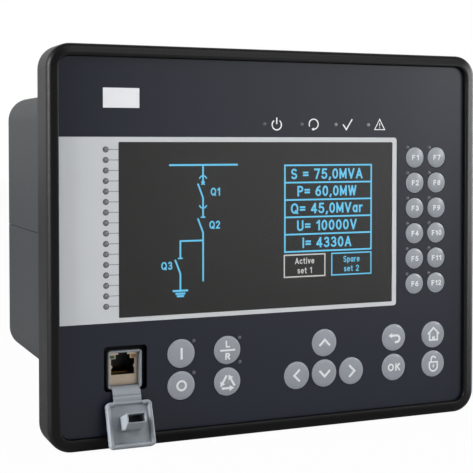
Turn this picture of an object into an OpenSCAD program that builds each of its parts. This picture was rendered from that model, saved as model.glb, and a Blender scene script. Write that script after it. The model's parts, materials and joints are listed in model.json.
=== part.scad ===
// Protection relay for panel mounting: a display front with keys and a covered network port,
// and a card case that passes through the panel. Millimetres.
// The panel face is the plane Y = 0, the front looks along -Y, X runs to the right, Z is up.

/* [Bezel] */
// Width of the bezel
bezel_w = 241.3; // [236:0.1:250]
// Height of the bezel
bezel_h = 197.6; // [192:0.1:206]
// Depth of the bezel in front of the panel
bezel_d = 19.1; // [18:0.1:24]
// Outer corner radius of the bezel
bezel_r = 12; // [10:0.5:16]
// Width of the raised lip round the overlay
lip_w = 6; // [4.5:0.1:7]
// Height of the lip above the overlay
lip_rise = 2.5; // [1:0.1:3]
// Edge radius of the lip's outer edge
lip_edge_r = 2.2; // [1:0.1:2.4]
// Edge radius of the lip's inner edge
lip_inner_r = 0.8; // [0.4:0.1:1.2]
// Wall of the bezel's sides
bezel_wall = 3; // [2.5:0.1:4]
// Thickness of the bezel's front plate
plate_t = 3; // [2.5:0.1:4]

/* [Overlay and display] */
// Thickness of the printed overlay
overlay_t = 0.8; // [0.5:0.1:1.2]
// Height of the display window
lcd_h = 86.5; // [80:0.5:90]
// From the overlay's left edge to the window
lcd_left = 30; // [28:0.1:32]
// From the overlay's bottom edge to the window
lcd_bottom = 57.7; // [56:0.1:64]
// Rim of the display module round the window
lcd_rim = 2; // [1.5:0.1:3]
// Corner radius of the display window
lcd_r = 0.6; // [0.3:0.1:1.5]

/* [Function keys] */
// Diameter of a function key
f_key_d = 11.1; // [9:0.1:12]
// Space between the columns
f_space_x = 2.65; // [2:0.05:5]
// Space between the rows
f_space_z = 2.72; // [2:0.02:4]
// From the display window to the left column
f_gap = 14.05; // [12:0.05:18]
// From the overlay's right edge to the right column
f_right = 17.5; // [15:0.1:18]
// From the overlay's bottom edge to the last row
f_bottom = 66.7; // [62:0.1:72]

/* [Control keys] */
// Diameter of a control key
key_d = 14.5; // [12:0.1:14.8]
// Space between the two rows and between the arrow keys
key_space = 1.67; // [1.5:0.01:3]
// From the overlay's bottom edge to the lower row
key_bottom = 21.8; // [20:0.1:24]
// From the port's middle to the breaker keys
key_left = 29; // [25:0.1:34]
// From one pair of keys to the next
key_group = 25; // [24:0.1:26]
// Part of the room beside the arrow keys that lies on their left
arrow_part = 0.7; // [0.2:0.01:0.8]
// From the overlay's right edge to the last pair
key_right = 19.2; // [17:0.1:21]

/* [Key action] */
// Height of a key above the overlay
key_proud = 0.7; // [0.6:0.1:1.6]
// Travel of a key
key_travel = 0.6; // [0.5:0.1:0.8]
// Rise of the key's domed top
key_dome = 0.3; // [0.1:0.05:0.5]
// Width of the bevel round a key's top
key_bevel = 1.3; // [0.4:0.1:1.8]
// Height of that bevel
key_bevel_h = 0.3; // [0.2:0.05:0.5]
// Height of the step between the bevel and the dome
key_step = 0.08; // [0.04:0.01:0.1]
// Gap round a key in its hole
key_gap = 0.35; // [0.3:0.05:0.5]
// Width of the flange that keeps a key in
key_flange = 0.6; // [0.5:0.05:0.7]
// Thickness of that flange
key_flange_t = 0.8; // [0.6:0.1:1]
// Play between the flange and the front plate
flange_gap = 0.4; // [0.3:0.05:0.6]
// Diameter of a key's stem
stem_d = 3; // [2:0.1:3.4]
// Side of a key switch
switch_w = 6; // [5:0.1:7]

/* [Lamps] */
// Diameter of an alarm lamp
alarm_d = 3; // [2:0.1:3.4]
// Distance between alarm lamps
alarm_pitch = 5.12; // [5:0.02:5.3]
// From the window's left edge to the alarm lamps
alarm_left = 6.5; // [6:0.1:8]
// From the window's top edge to the first alarm lamp
alarm_top = 3.66; // [2:0.1:6]
// Least height of the last alarm lamp above the window's bottom edge
alarm_bottom = 5.9; // [3:0.1:8]
// Diameter of a small lamp
lamp_d = 1.5; // [1:0.1:1.6]
// Height of the status lamps above the window
status_up = 9.3; // [8:0.1:11]
// Status lamps, from the window's right edge
status_x = [-75.8, -54.5, -34.4, -14.9];
// From a function key's edge to its lamp
f_lamp_out = 1.68; // [1.5:0.01:2.5]
// Direction of that lamp from the key's middle
f_lamp_a = 131.1; // [120:0.1:140]
// From a breaker key's edge to its lamp
key_lamp_out = 1.79; // [1.5:0.01:2.5]
// Direction of that lamp from the key's middle
key_lamp_a = 41.2; // [35:0.1:50]
// From the control-place key's edge to its lower lamp
place_lamp_out = 2.3; // [1.5:0.01:3]
// Direction of that lamp from the key's middle
place_lamp_a = -43.3; // [-50:0.1:-35]

/* [Network port] */
// From the overlay's left edge to the port's middle
port_left = 33.4; // [32:0.1:36]
// From the overlay's bottom edge to the middle of the recess and the jack's opening
port_bottom = 32.8; // [32:0.1:35]
// Room in the recess beside the port's frame
recess_side = 2.35; // [1:0.05:3]
// Room in the recess below the port's frame
recess_low = 0.85; // [0.5:0.05:3]
// How far the jack's middle lies below its opening
jack_drop = 0.85; // [0:0.05:1.2]
// Corner radius of the recess
recess_r = 2; // [1:0.1:3]
// Width of the jack
jack_w = 15.2; // [14.6:0.1:15.4]
// Height of the jack
jack_h = 16.6; // [16:0.1:17]
// Length of the jack
jack_l = 21; // [19:0.5:24]
// From the overlay's front to the jack's face
jack_set = 5; // [4.6:0.1:6]
// Width of the jack's opening
socket_w = 12; // [11.6:0.1:12.2]
// Height of the jack's opening
socket_h = 7.9; // [7.6:0.1:8]
// Depth of the jack's opening
socket_l = 13; // [12:0.1:14]
// Wall of the frame round the jack
port_wall = 1; // [0.8:0.05:1.1]
// From the overlay's front to the frame's front
port_set = 1; // [0.6:0.1:1.5]

/* [Port cover] */
// How far the cover reaches past the recess at its sides
cover_side = 0.5; // [0.3:0.1:2]
// How far the cover reaches past the recess at its top
cover_top = 0.7; // [0.3:0.1:2]
// Thickness of the cover's plate
cover_t = 1.6; // [1.2:0.1:2]
// Width of the cover's rim
rim_w = 2; // [1.5:0.1:2.2]
// Height of the cover's rim
rim_h = 2.3; // [2.2:0.05:2.6]
// Room in the jack's opening beside the cover's plug
stub_side = 1; // [0.8:0.05:2]
// Room in the jack's opening above the cover's plug
stub_top = 0.6; // [0.5:0.05:3]
// Length of the plug on the cover
stub_l = 12; // [9:0.1:12]
// Wall of the plug on the cover
stub_wall = 1; // [0.8:0.1:1.4]
// Width of the strap
strap_w = 15; // [12:0.1:15.5]
// Thickness of the strap
strap_t = 0.7; // [0.5:0.05:0.8]
// Thickness of the strap at its fold
fold_t = 0.3; // [0.2:0.05:0.4]
// Length of the strap from its fold to the cover
fold_l = 2.7; // [2.6:0.05:3.4]
// Angle of the open cover from the closed one
cover_open = 159; // [150:1:165]

/* [Case] */
// From the bezel's sides to the case
case_side = 18.65; // [17:0.05:22]
// From the bezel's top and bottom to the case
case_end = 19.8; // [17:0.1:22]
// Depth of the case behind the panel
case_d = 165; // [150:0.5:200]
// Corner radius of the case
case_r = 14; // [12:0.5:18]
// Wall of the case
case_wall = 2; // [1.5:0.1:2.5]
// Width of the turned edge that holds the case in its frame
edge_w = 3; // [2:0.1:3.2]
// Gap along the seam between the case halves
seam_gap = 0.3; // [0.1:0.05:0.5]
// Height of the lap inside the seam
lap_h = 6; // [4:0.5:10]
// Thickness of the lap inside the seam
lap_t = 1.2; // [1:0.1:2]
// Thickness of the mounting frame
frame_t = 3; // [2.8:0.1:3.2]
// Width of the gasket
gasket_w = 5; // [3:0.1:5.5]
// Depth of the gasket's groove
gasket_t = 1.5; // [1:0.1:1.8]
// From the bezel's outer edge to the gasket
gasket_in = 5; // [4.5:0.1:6]
// Radius of the holes for the panel clamps
clamp_hole_r = 2.1; // [1.6:0.05:2.6]
// Distance between the clamp holes
clamp_pitch = 140; // [120:1:160]
// From the panel to the clamp holes
clamp_y = 40; // [30:1:60]

/* [Boards and cards] */
// Thickness of every circuit board
board_t = 1.6; // [1.2:0.1:1.6]
// Margin of the front board inside the bezel's wall
board_margin = 5; // [4:0.5:7]
// Gap between the display module and the front board
board_gap = 0.2; // [0.1:0.05:0.4]
// Gap between the front board and the turned edge of the case
board_clear = 0.4; // [0.3:0.05:1]
// From the port board to the backplane
backplane_gap = 3.6; // [2:0.1:8]
// From the case's inner wall to the first module
module_side = 4; // [2:0.1:6]
// Height of a card rail
rail_h = 8; // [7:0.1:10]
// Depth of a card rail
rail_d = 8; // [7:0.1:10]
// Depth of the slot for a card
slot_h = 3; // [2:0.1:4]
// From a module's middle to its card
card_off = -9; // [-11:0.5:-7]
// Thickness of a module's end plate
end_t = 1.5; // [1:0.1:2]
// How far the end plates lie inside the case's edge
end_in = 0.8; // [0.4:0.1:1.5]

/* [Terminals] */
// Distance between poles of a plug
pole_pitch = 5.08; // [5:0.02:5.4]
// Poles of a long plug
plug_poles = 10; // [8:1:10]
// Poles of a short plug
short_poles = 6; // [4:1:6]
// Width of a plug
plug_w = 15; // [13:0.1:17]
// Space between two plugs of a module
plug_gap = 11.2; // [6:0.1:14]
// Depth of a plug
plug_d = 12; // [10:0.1:15]
// Depth of the header a plug sits on
header_d = 5; // [4:0.1:8]
// Number of current terminals
current_n = 10; // [8:1:10]
// Room for the module screws above and below the current terminals
terminal_end = 13.7; // [12:0.1:18]
// Number of voltage terminals
voltage_n = 8; // [6:1:10]
// Distance between voltage terminals
voltage_pitch = 12; // [11:0.1:13]
// Width of a screw terminal block
block_w = 24; // [20:0.5:26]
// Depth of a screw terminal block
block_d = 16; // [12:0.5:20]
// Thickness of the ribs between screw terminals
rib_t = 1.6; // [1.2:0.1:2]
// Radius of the earth stud
stud_r = 2.5; // [2:0.1:3]
// Length of the earth stud
stud_l = 10; // [8:0.5:14]

/* [Hidden] */
$fn = 48;

// Clearance of parts that are fitted together and do not move
fit = 0.2;
// Small length by which joined shapes reach into each other
eps = 0.5;

// Stations along Y; the display module takes what the front leaves free
lcd_t = bezel_d - lip_rise - overlay_t - plate_t - board_gap - board_t - board_clear - case_wall - frame_t;
lip_y = -bezel_d;
overlay_y = lip_y + lip_rise;
plate_y = overlay_y + overlay_t;
back_y = plate_y + plate_t;
lcd_back_y = back_y + lcd_t;
board_y = lcd_back_y + board_gap;
board_back_y = board_y + board_t;
flange_y = back_y + flange_gap;
switch_y = flange_y + key_flange_t + key_travel + fit;
edge_y = -frame_t - case_wall;
jack_y = overlay_y + jack_set;
port_board_end = 1;
backplane_y = jack_y + jack_l + port_board_end + backplane_gap;
end_y = case_d - end_in;
rail_y = end_y - end_t - rail_d;
card_y = backplane_y + board_t;

// Function keys stand in two columns of six
f_cols = 2;
f_rows = 6;
// One card for each module at the rear
card_n = 6;

// Overlay and its layout
overlay_w = bezel_w - 2 * lip_w;
overlay_h = bezel_h - 2 * lip_w;
overlay_r = bezel_r - lip_w;
left = -overlay_w / 2;
right = overlay_w / 2;
bottom = -overlay_h / 2;
f_pitch_x = f_key_d + f_space_x;
f_pitch_z = f_key_d + f_space_z;
lcd_w = overlay_w - lcd_left - f_gap - f_pitch_x - f_right;
lcd_x0 = left + lcd_left;
lcd_x1 = lcd_x0 + lcd_w;
lcd_z1 = bottom + lcd_bottom + lcd_h;
lcd_x = lcd_x0 + lcd_w / 2;
lcd_z = lcd_z1 - lcd_h / 2;
window_t = 0.7;
window_gap = 0.05;
port_x = left + port_left;
port_z = bottom + port_bottom;
jack_z = port_z - jack_drop;

// Keys as [name, diameter, x, z]
function f_key_x(i) = right - f_right - (i < f_rows ? f_pitch_x : 0);
function f_key_z(i) = bottom + f_bottom + (f_rows - 1 - i % f_rows) * f_pitch_z;
stem_in = 0.7;
key_pitch = key_d + key_space;
low_z = bottom + key_bottom;
high_z = low_z + key_pitch;
breaker_x = port_x + key_left;
place_x = breaker_x + key_group;
last_x = right - key_right;
return_x = last_x - key_group;
arrow_room = return_x - place_x - 4 * key_pitch;
arrow_x = place_x + 2 * key_pitch + arrow_part * arrow_room;
F_KEYS = [for (i = [0 : f_cols * f_rows - 1])
    [str("f", i + 1, "_key"), f_key_d, f_key_x(i), f_key_z(i)]];
CONTROL_KEYS = [
    ["close_key", key_d, breaker_x, high_z],
    ["open_key", key_d, breaker_x, low_z],
    ["control_place_key", key_d, place_x, high_z],
    ["cycle_key", key_d, place_x, low_z],
    ["up_key", key_d, arrow_x, high_z],
    ["down_key", key_d, arrow_x, low_z],
    ["left_key", key_d, arrow_x - key_pitch, low_z],
    ["right_key", key_d, arrow_x + key_pitch, low_z],
    ["back_key", key_d, return_x, high_z],
    ["ok_key", key_d, return_x, low_z],
    ["home_key", key_d, last_x, high_z],
    ["lock_key", key_d, last_x, low_z]
];
KEYS = concat(F_KEYS, CONTROL_KEYS);

// Lamps as [x, z]
alarm_n = 1 + floor((lcd_h - alarm_top - alarm_bottom) / alarm_pitch);
function lamp_off(d, out, a) = (d / 2 + out) * [cos(a), sin(a)];
f_lamp = lamp_off(f_key_d, f_lamp_out, f_lamp_a);
key_lamp = lamp_off(key_d, key_lamp_out, key_lamp_a);
place_lamp = lamp_off(key_d, place_lamp_out, place_lamp_a);
ALARM_LAMPS = [for (i = [0 : alarm_n - 1]) [lcd_x0 - alarm_left, lcd_z1 - alarm_top - i * alarm_pitch]];
STATUS_LAMPS = [for (x = status_x) [lcd_x1 + x, lcd_z1 + status_up]];
KEY_LAMPS = concat(
    [for (k = F_KEYS) [k[2] + f_lamp[0], k[3] + f_lamp[1]]],
    [[breaker_x + key_lamp[0], high_z + key_lamp[1]], [breaker_x + key_lamp[0], low_z + key_lamp[1]],
     [place_x + key_lamp[0], high_z + key_lamp[1]], [place_x + place_lamp[0], high_z + place_lamp[1]]]);
lamp_gap = 0.15;
lamp_base = 1.2;
lamp_step = 0.4;

// Inside of the bezel, front board and its screws
cavity_w = bezel_w - 2 * bezel_wall;
cavity_h = bezel_h - 2 * bezel_wall;
cavity_r = bezel_r - bezel_wall;
board_w = cavity_w - 2 * board_margin;
board_h = cavity_h - 2 * board_margin;
boss_d = 6.4;
pilot_r = 1.2;
screw_r = 1.5;
screw_head_r = 2.6;
screw_head_t = 1.6;
cross_w = 0.6;
cross_part = 0.8;
screw_l = 6;
frame_boss_in = gasket_in + gasket_w + screw_head_r + 3 * fit;
frame_boss_side = 2;
board_boss_in = 30;
FRAME_BOSSES = [for (sx = [-1, 0, 1], sz = [-1, 1])
    [sx * (bezel_w / 2 - frame_boss_in - frame_boss_side), sz * (bezel_h / 2 - frame_boss_in)]];
BOARD_BOSSES = [for (sx = [-1, 1], sz = [-1, 1])
    [sx * (board_w / 2 - boss_d / 2 - eps), sz * (board_h / 2 - board_boss_in)]];

// Jack and port frame
jack_gap = 0.15;
shield_t = 0.4;
port_in_w = jack_w + 2 * jack_gap;
port_in_h = jack_h + 2 * jack_gap;
port_w = port_in_w + 2 * port_wall;
port_h = port_in_h + 2 * port_wall;
port_r = 1.4;
recess_w = port_w + 2 * recess_side;
recess_h = port_h + 2 * jack_drop + 2 * recess_low;
base_t = 1.2;
ledge_t = 1.4;
ledge_y = jack_y + fit;
well_wall = 1.6;
shoulder_w = 7.4;
shoulder_h = 2;
notch_w = 4.5;
notch_h = 1.35;
tab_w = 0.6;
tab_r = 1;
jack_lamp_w = 2.6;
jack_lamp_h = 1.5;
jack_lamp_l = 4;
jack_lamp_in = 0.4;
jack_lamp_x = jack_w / 2 - shield_t - jack_lamp_w / 2 - jack_lamp_in;
jack_lamp_z = socket_h / 2 + shoulder_h / 2;
contact_n = 8;
contact_pitch = 1.02;
contact_w = 0.45;
contact_t = 0.4;
contact_rise = 1.5;
contact_l = 7.15;
port_board_side = 3;

// Port cover, in the closed position; the fold is the axis it turns on
cover_gap = 0.3;
rim_y = overlay_y - cover_gap;
floor_y = rim_y - rim_h;
cover_y = floor_y - cover_t;
cover_low = -0.6;
cover_w = recess_w + 2 * cover_side;
cover_h = recess_h + cover_low + cover_top;
cover_z0 = port_z - recess_h / 2 - cover_low;
cover_r = 2.2;
cover_back = 0.8;
fold_out = 2.6;
fold_y = overlay_y - fold_out;
fold_z = cover_z0 - fold_l;
fold_bead = 0.1;
fold_r = fold_t / 2 + fold_bead;
fold_gap = 0.4;
strap_root = [overlay_y + port_set + strap_t / 2, jack_z - port_in_h / 2 - port_wall / 2];
strap_out = 0.7;
strap_up = 1.1;
strap_bend = [overlay_y - strap_out, port_z - recess_h / 2 + strap_up];
stub_low = 0.35;
stub_w = socket_w - 2 * stub_side;
stub_h = socket_h - stub_low - stub_top;
stub_z = port_z - socket_h / 2 + stub_low + stub_h / 2;
stub_slope = 2.75;
stub_z1 = stub_z + stub_h / 2;
stub_hole = stub_h - stub_slope / 2 - 2 * stub_wall;
stub_hole_z = stub_z - stub_h / 2 + stub_wall + stub_hole / 2;
stub_y = floor_y + stub_l;
stub_r = 0.6;
small_r = 0.3;
rim_r = 0.6;
fold = [fold_y, fold_z];
taper_l = 1.8;
bend_facets = 24;

// Mounting frame and gasket
plate_gap = 0.2;
frame_w = cavity_w - 2 * plate_gap;
frame_h = cavity_h - 2 * plate_gap;
frame_r = cavity_r - plate_gap;
gasket_out_w = bezel_w - 2 * gasket_in;
gasket_out_h = bezel_h - 2 * gasket_in;
gasket_r = bezel_r - gasket_in;
gasket_in_w = gasket_out_w - 2 * gasket_w;
gasket_in_h = gasket_out_h - 2 * gasket_w;
gasket_in_r = gasket_r - gasket_w / 2;

// Case and its inside
case_w = bezel_w - 2 * case_side;
case_h = bezel_h - 2 * case_end;
lap_gap = 0.1;
in_w = case_w - 2 * case_wall;
in_h = case_h - 2 * case_wall;
in_r = case_r - case_wall;
card_pitch = (in_w - 2 * module_side) / card_n;
function card_x(i) = (i - (card_n - 1) / 2) * card_pitch;
card_h = in_h - 2 * rail_h + 2 * slot_h - 2 * fit;
end_gap = 0.5;
// The outer end plates reach out to the case
function end_x0(i) = i == 0 ? -in_w / 2 : card_x(i) - (card_pitch - end_gap) / 2;
function end_x1(i) = i == card_n - 1 ? in_w / 2 : card_x(i) + (card_pitch - end_gap) / 2;
end_screw_z = in_h / 2 - rail_h / 2;
SUPPLY = 0;
PROCESSOR = 1;
INPUTS = 2;
OUTPUTS = 3;
VOLTAGES = 4;
CURRENTS = 5;
// Middle of one of n places at a pitch
function terminal_z(i, n, pitch) = (i - (n - 1) / 2) * pitch;
core_w = 18;
core_l = 22;
core_h = 22;
core_pitch = 26;
core_y = rail_y - core_l - 2;
cheek_t = 2.5;
winding_in = 1.5;
voltage_core_n = 4;
current_core_n = 5;
relay = [15, 28, 10];
relay_pitch = 14;
relay_n = 8;
relay_set = 16;
plug_end = 1;
plug_z = (plug_poles * pole_pitch + 2 * plug_end + plug_gap) / 2;
current_pitch = (in_h - 2 * terminal_end - rib_t) / current_n;
// Plugs as [module, z, number of poles]
PLUGS = [
    [SUPPLY, plug_z, short_poles], [PROCESSOR, -plug_z, short_poles],
    [INPUTS, plug_z, plug_poles], [INPUTS, -plug_z, plug_poles],
    [OUTPUTS, plug_z, plug_poles], [OUTPUTS, -plug_z, plug_poles]
];
header_in = 2;
header_w = plug_w - 2 * header_in;
header_wall = 1.2;
wire_w = 3;
wire_h = 3.4;
tool_r = 1.7;
rear_jack_z = plug_z;
rear_jack_base = 3;
clamp_r = 3.4;
clamp_t = 1.2;
shelf_d = block_d / 2;
stud_z = -48;
stud_base_r = 4.6;
stud_base_t = 4;

// Outline of a rectangle with round corners
module rounded_rect(w, h, r) {
    square([w - 2 * r, h], center = true);
    square([w, h - 2 * r], center = true);
    for (sx = [-1, 1], sz = [-1, 1])
        translate([sx * (w / 2 - r), sz * (h / 2 - r)]) circle(r);
}

// Extrudes an X-Z outline along Y from y0 to y1
module along_y(y0, y1) {
    translate([0, y1, 0]) rotate([90, 0, 0]) linear_extrude(y1 - y0) children();
}

// Rounded plate between two stations along Y
module plate(w, h, r, y0, y1) {
    along_y(y0, y1) rounded_rect(w, h, r);
}

// Cylinder along Y at [x, z], from y0 to y1
module bar_y(p, r, y0, y1) {
    translate([p[0], y1, p[1]]) rotate([90, 0, 0]) cylinder(r = r, h = y1 - y0);
}

// Box by its middle in X and Z and its two stations along Y
module box_y(x, z, w, h, y0, y1) {
    translate([x - w / 2, y0, z - h / 2]) cube([w, y1 - y0, h]);
}

// Carries a profile round a rounded rectangle. In the profile, x is the distance from the
// middle of the corner and y looks to the front
module sweep_round(w, h, r) {
    rotate([90, 0, 0]) {
        for (i = [0 : 3])
            translate([(i % 3 == 0 ? 1 : -1) * (w / 2 - r), (i < 2 ? 1 : -1) * (h / 2 - r), 0])
                rotate([0, 0, 90 * i]) {
                    rotate_extrude(angle = 90) children();
                    rotate([90, 0, 0]) linear_extrude((i % 2 == 0 ? h : w) - 2 * r) children();
                }
    }
}

// Section of the bezel's side wall and lip
module lip_profile() {
    inner = bezel_r - lip_w;
    translate([bezel_r - bezel_wall, 0]) square([bezel_wall, bezel_d - lip_edge_r]);
    translate([inner, -back_y]) square([lip_w, bezel_d - lip_edge_r + back_y]);
    translate([inner + lip_inner_r, -back_y])
        square([lip_w - lip_inner_r - lip_edge_r, bezel_d + back_y]);
    translate([bezel_r - lip_edge_r, bezel_d - lip_edge_r]) circle(lip_edge_r);
    translate([inner, -back_y]) square([lip_inner_r + eps, bezel_d - lip_inner_r + back_y]);
    translate([inner + lip_inner_r, bezel_d - lip_inner_r]) circle(lip_inner_r);
}

// Holes for keys and lamps through a plate from y0 to y1
module front_holes(y0, y1) {
    for (k = KEYS) bar_y([k[2], k[3]], k[1] / 2 + key_gap, y0 - eps, y1 + eps);
    for (p = ALARM_LAMPS) bar_y(p, alarm_d / 2 + lamp_gap, y0 - eps, y1 + eps);
    for (p = concat(STATUS_LAMPS, KEY_LAMPS)) bar_y(p, lamp_d / 2 + lamp_gap, y0 - eps, y1 + eps);
}

module front_bezel() {
    color("#2c2d30") difference() {
        union() {
            sweep_round(bezel_w, bezel_h, bezel_r) lip_profile();
            plate(overlay_w + 2 * eps, overlay_h + 2 * eps, overlay_r + eps, plate_y, back_y);
            for (p = FRAME_BOSSES) bar_y(p, boss_d / 2, plate_y + eps, -frame_t);
            for (p = BOARD_BOSSES) bar_y(p, boss_d / 2, plate_y + eps, board_y);
            translate([port_x, 0, port_z])
                plate(recess_w + 2 * well_wall, recess_h + 2 * well_wall, recess_r + well_wall,
                      plate_y + eps, ledge_y + ledge_t);
        }
        front_holes(plate_y, back_y);
        for (p = FRAME_BOSSES) bar_y(p, pilot_r, back_y, -frame_t + eps);
        for (p = BOARD_BOSSES) bar_y(p, pilot_r, back_y, board_y + eps);
        translate([lcd_x, 0, lcd_z])
            plate(lcd_w + 2 * fit, lcd_h + 2 * fit, lcd_r, plate_y - eps, back_y + eps);
        translate([port_x, 0, port_z]) {
            plate(recess_w, recess_h, recess_r, plate_y - eps, ledge_y);
            translate([0, 0, -jack_drop])
                plate(port_in_w + 2 * fit, port_in_h + 2 * fit, fit, plate_y, ledge_y + ledge_t + eps);
        }
    }
}

module front_overlay() {
    color("#34373d") difference() {
        plate(overlay_w - 2 * fit, overlay_h - 2 * fit, overlay_r - fit, overlay_y, plate_y);
        front_holes(overlay_y, plate_y);
        translate([lcd_x, 0, lcd_z]) plate(lcd_w, lcd_h, lcd_r, overlay_y - eps, plate_y + eps);
        translate([port_x, 0, port_z]) plate(recess_w, recess_h, recess_r, overlay_y - eps, plate_y + eps);
    }
}

module display_window() {
    color("#1d1e20") translate([lcd_x, 0, lcd_z])
        plate(lcd_w - 2 * window_gap, lcd_h - 2 * window_gap, lcd_r - window_gap,
              overlay_y + window_gap, overlay_y + window_gap + window_t);
}

module display_module() {
    glass_y = overlay_y + window_gap + window_t;
    color("#3b3b3a") translate([lcd_x, 0, lcd_z]) {
        plate(lcd_w - fit, lcd_h - fit, lcd_r, glass_y, back_y + eps);
        plate(lcd_w + 2 * lcd_rim, lcd_h + 2 * lcd_rim, lcd_r, back_y, lcd_back_y);
    }
}

module front_board() {
    color("#2f6b4a") difference() {
        plate(board_w, board_h, cavity_r - board_margin, board_y, board_back_y);
        for (p = BOARD_BOSSES) bar_y(p, screw_r + fit, board_y - eps, board_back_y + eps);
        for (p = FRAME_BOSSES) bar_y(p, boss_d / 2 + fit, board_y - eps, board_back_y + eps);
        box_y(port_x, jack_z, port_in_w + 4 * fit, port_in_h + 4 * fit, board_y - eps, board_back_y + eps);
    }
}

module key_switches() {
    color("#1e1f21") for (k = KEYS) difference() {
        box_y(k[2], k[3], switch_w, switch_w, switch_y, board_y);
        bar_y([k[2], k[3]], stem_d / 2 + key_gap, switch_y - eps, switch_y + stem_in + key_travel + fit);
    }
}

// Lamp with a round lens in the overlay and a square foot on the front board
module lamp(p, d) {
    bar_y(p, d / 2, overlay_y, board_y);
    bar_y(p, d / 2 + lamp_step, board_y - 2 * lamp_base, board_y);
    box_y(p[0], p[1], d + lamp_base, d + lamp_base, board_y - lamp_base, board_y);
}

module alarm_lamps() {
    color("#6c7075") for (p = ALARM_LAMPS) lamp(p, alarm_d);
}

module status_lamps() {
    color("#4a4d52") for (p = STATUS_LAMPS) lamp(p, lamp_d);
}

module key_lamps() {
    color("#4a4d52") for (p = KEY_LAMPS) lamp(p, lamp_d);
}

// Key with a bevel, a small step and a domed top, a flange behind the front plate and a stem in its switch
module key_cap(d, x, z) {
    rim = d / 2;
    ball = ((rim - key_bevel) * (rim - key_bevel) + key_dome * key_dome) / (2 * key_dome);
    edge = key_proud - key_dome - key_step;
    color("#93979c") translate([x, overlay_y, z]) rotate([90, 0, 0]) {
        intersection() {
            union() {
                translate([0, 0, overlay_y - flange_y])
                    cylinder(r = rim, h = flange_y - overlay_y + edge - key_bevel_h);
                translate([0, 0, edge - key_bevel_h])
                    cylinder(r1 = rim, r2 = rim - key_bevel, h = key_bevel_h);
                translate([0, 0, edge - eps]) cylinder(r = rim - key_bevel, h = key_proud - edge + eps);
            }
            translate([0, 0, key_proud - ball]) sphere(r = ball, $fn = 96);
        }
        translate([0, 0, overlay_y - flange_y - key_flange_t])
            cylinder(r = rim + key_flange, h = key_flange_t);
        translate([0, 0, overlay_y - switch_y - stem_in])
            cylinder(r = stem_d / 2, h = switch_y + stem_in - flange_y - key_flange_t + eps);
    }
}

// Screw along Y with its head towards the rear at y1
module screw_y(p, r, head_r, head_t, y0, y1) {
    cross_l = 2 * head_r * cross_part;
    difference() {
        union() {
            bar_y(p, r, y0, y1 + eps);
            bar_y(p, head_r, y1, y1 + head_t);
        }
        box_y(p[0], p[1], cross_l, cross_w, y1 + head_t / 2, y1 + head_t + eps);
        box_y(p[0], p[1], cross_w, cross_l, y1 + head_t / 2, y1 + head_t + eps);
    }
}

module front_screws() {
    color("#b9bcc0") {
        for (p = BOARD_BOSSES)
            screw_y(p, pilot_r, screw_head_r, screw_head_t / 2, board_y - screw_l / 2, board_back_y);
        for (p = FRAME_BOSSES)
            screw_y(p, pilot_r, screw_head_r, screw_head_t, -frame_t - screw_l / 2, -screw_head_t);
    }
}

// Outline of the jack's opening: mouth, shoulder and latch notch
module socket_outline() {
    square([socket_w, socket_h], center = true);
    translate([-shoulder_w / 2, 0]) square([shoulder_w, socket_h / 2 + shoulder_h]);
    translate([-notch_w / 2, 0]) square([notch_w, socket_h / 2 + shoulder_h + notch_h]);
}

module jack_lamp_outline() {
    for (s = [-1, 1]) translate([s * jack_lamp_x, jack_lamp_z])
        square([jack_lamp_w, jack_lamp_h], center = true);
}

module jack_shield() {
    color("#b7aa9c") translate([port_x, 0, port_z]) {
        difference() {
            box_y(0, -jack_drop, jack_w, jack_h, jack_y, jack_y + jack_l);
            box_y(0, -jack_drop, jack_w - 2 * shield_t, jack_h - 2 * shield_t,
                  jack_y + shield_t, jack_y + jack_l + eps);
            along_y(jack_y - eps, jack_y + shield_t + eps) socket_outline();
            along_y(jack_y - eps, jack_y + shield_t + eps) jack_lamp_outline();
        }
        for (s = [-1, 1])
            bar_y([s * (socket_w / 2 + tab_r - tab_w), 0], tab_r, jack_y, jack_y + shield_t);
    }
}

module jack_insert() {
    color("#26272a") translate([port_x, 0, port_z]) difference() {
        box_y(0, -jack_drop, jack_w - 2 * shield_t, jack_h - 2 * shield_t,
              jack_y + shield_t, jack_y + jack_l);
        along_y(jack_y, jack_y + socket_l) socket_outline();
        along_y(jack_y, jack_y + jack_lamp_l) jack_lamp_outline();
    }
}

module jack_lamps() {
    color("#9fb26a") translate([port_x, 0, port_z]) along_y(jack_y, jack_y + jack_lamp_l) jack_lamp_outline();
}

// Sprung contact wires, rising from the mouth's floor towards the back
module jack_contacts() {
    floor_z = port_z - socket_h / 2;
    back = jack_y + socket_l;
    front = back - contact_l;
    tip_z = floor_z + contact_rise + contact_t;
    color("#c9a24a") for (i = [0 : contact_n - 1])
        translate([port_x + (i - (contact_n - 1) / 2) * contact_pitch - contact_w / 2, 0, 0])
            rotate([90, 0, 90]) linear_extrude(contact_w)
                polygon([[front, floor_z], [back, floor_z], [back, tip_z],
                         [back - contact_t, tip_z], [front, floor_z + contact_t]]);
}

module port_board() {
    color("#2f6b4a")
        box_y(port_x, jack_z - jack_h / 2 - board_t / 2, jack_w + 2 * port_board_side, board_t,
              board_back_y, jack_y + jack_l + port_board_end);
}

// Strip of strap from point a to point b in the Y-Z plane, with its thickness at both ends
module strap_strip(a, b, ta, tb) {
    d = b - a;
    n = [-d[1], d[0]] / norm(d) / 2;
    polygon([a + n * ta, b + n * tb, b - n * tb, a - n * ta]);
}

// Extrudes a Y-Z outline along X over a width about the port's middle
module across_x(w) {
    translate([port_x - w / 2, 0, 0]) rotate([90, 0, 90]) linear_extrude(w) children();
}

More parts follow.
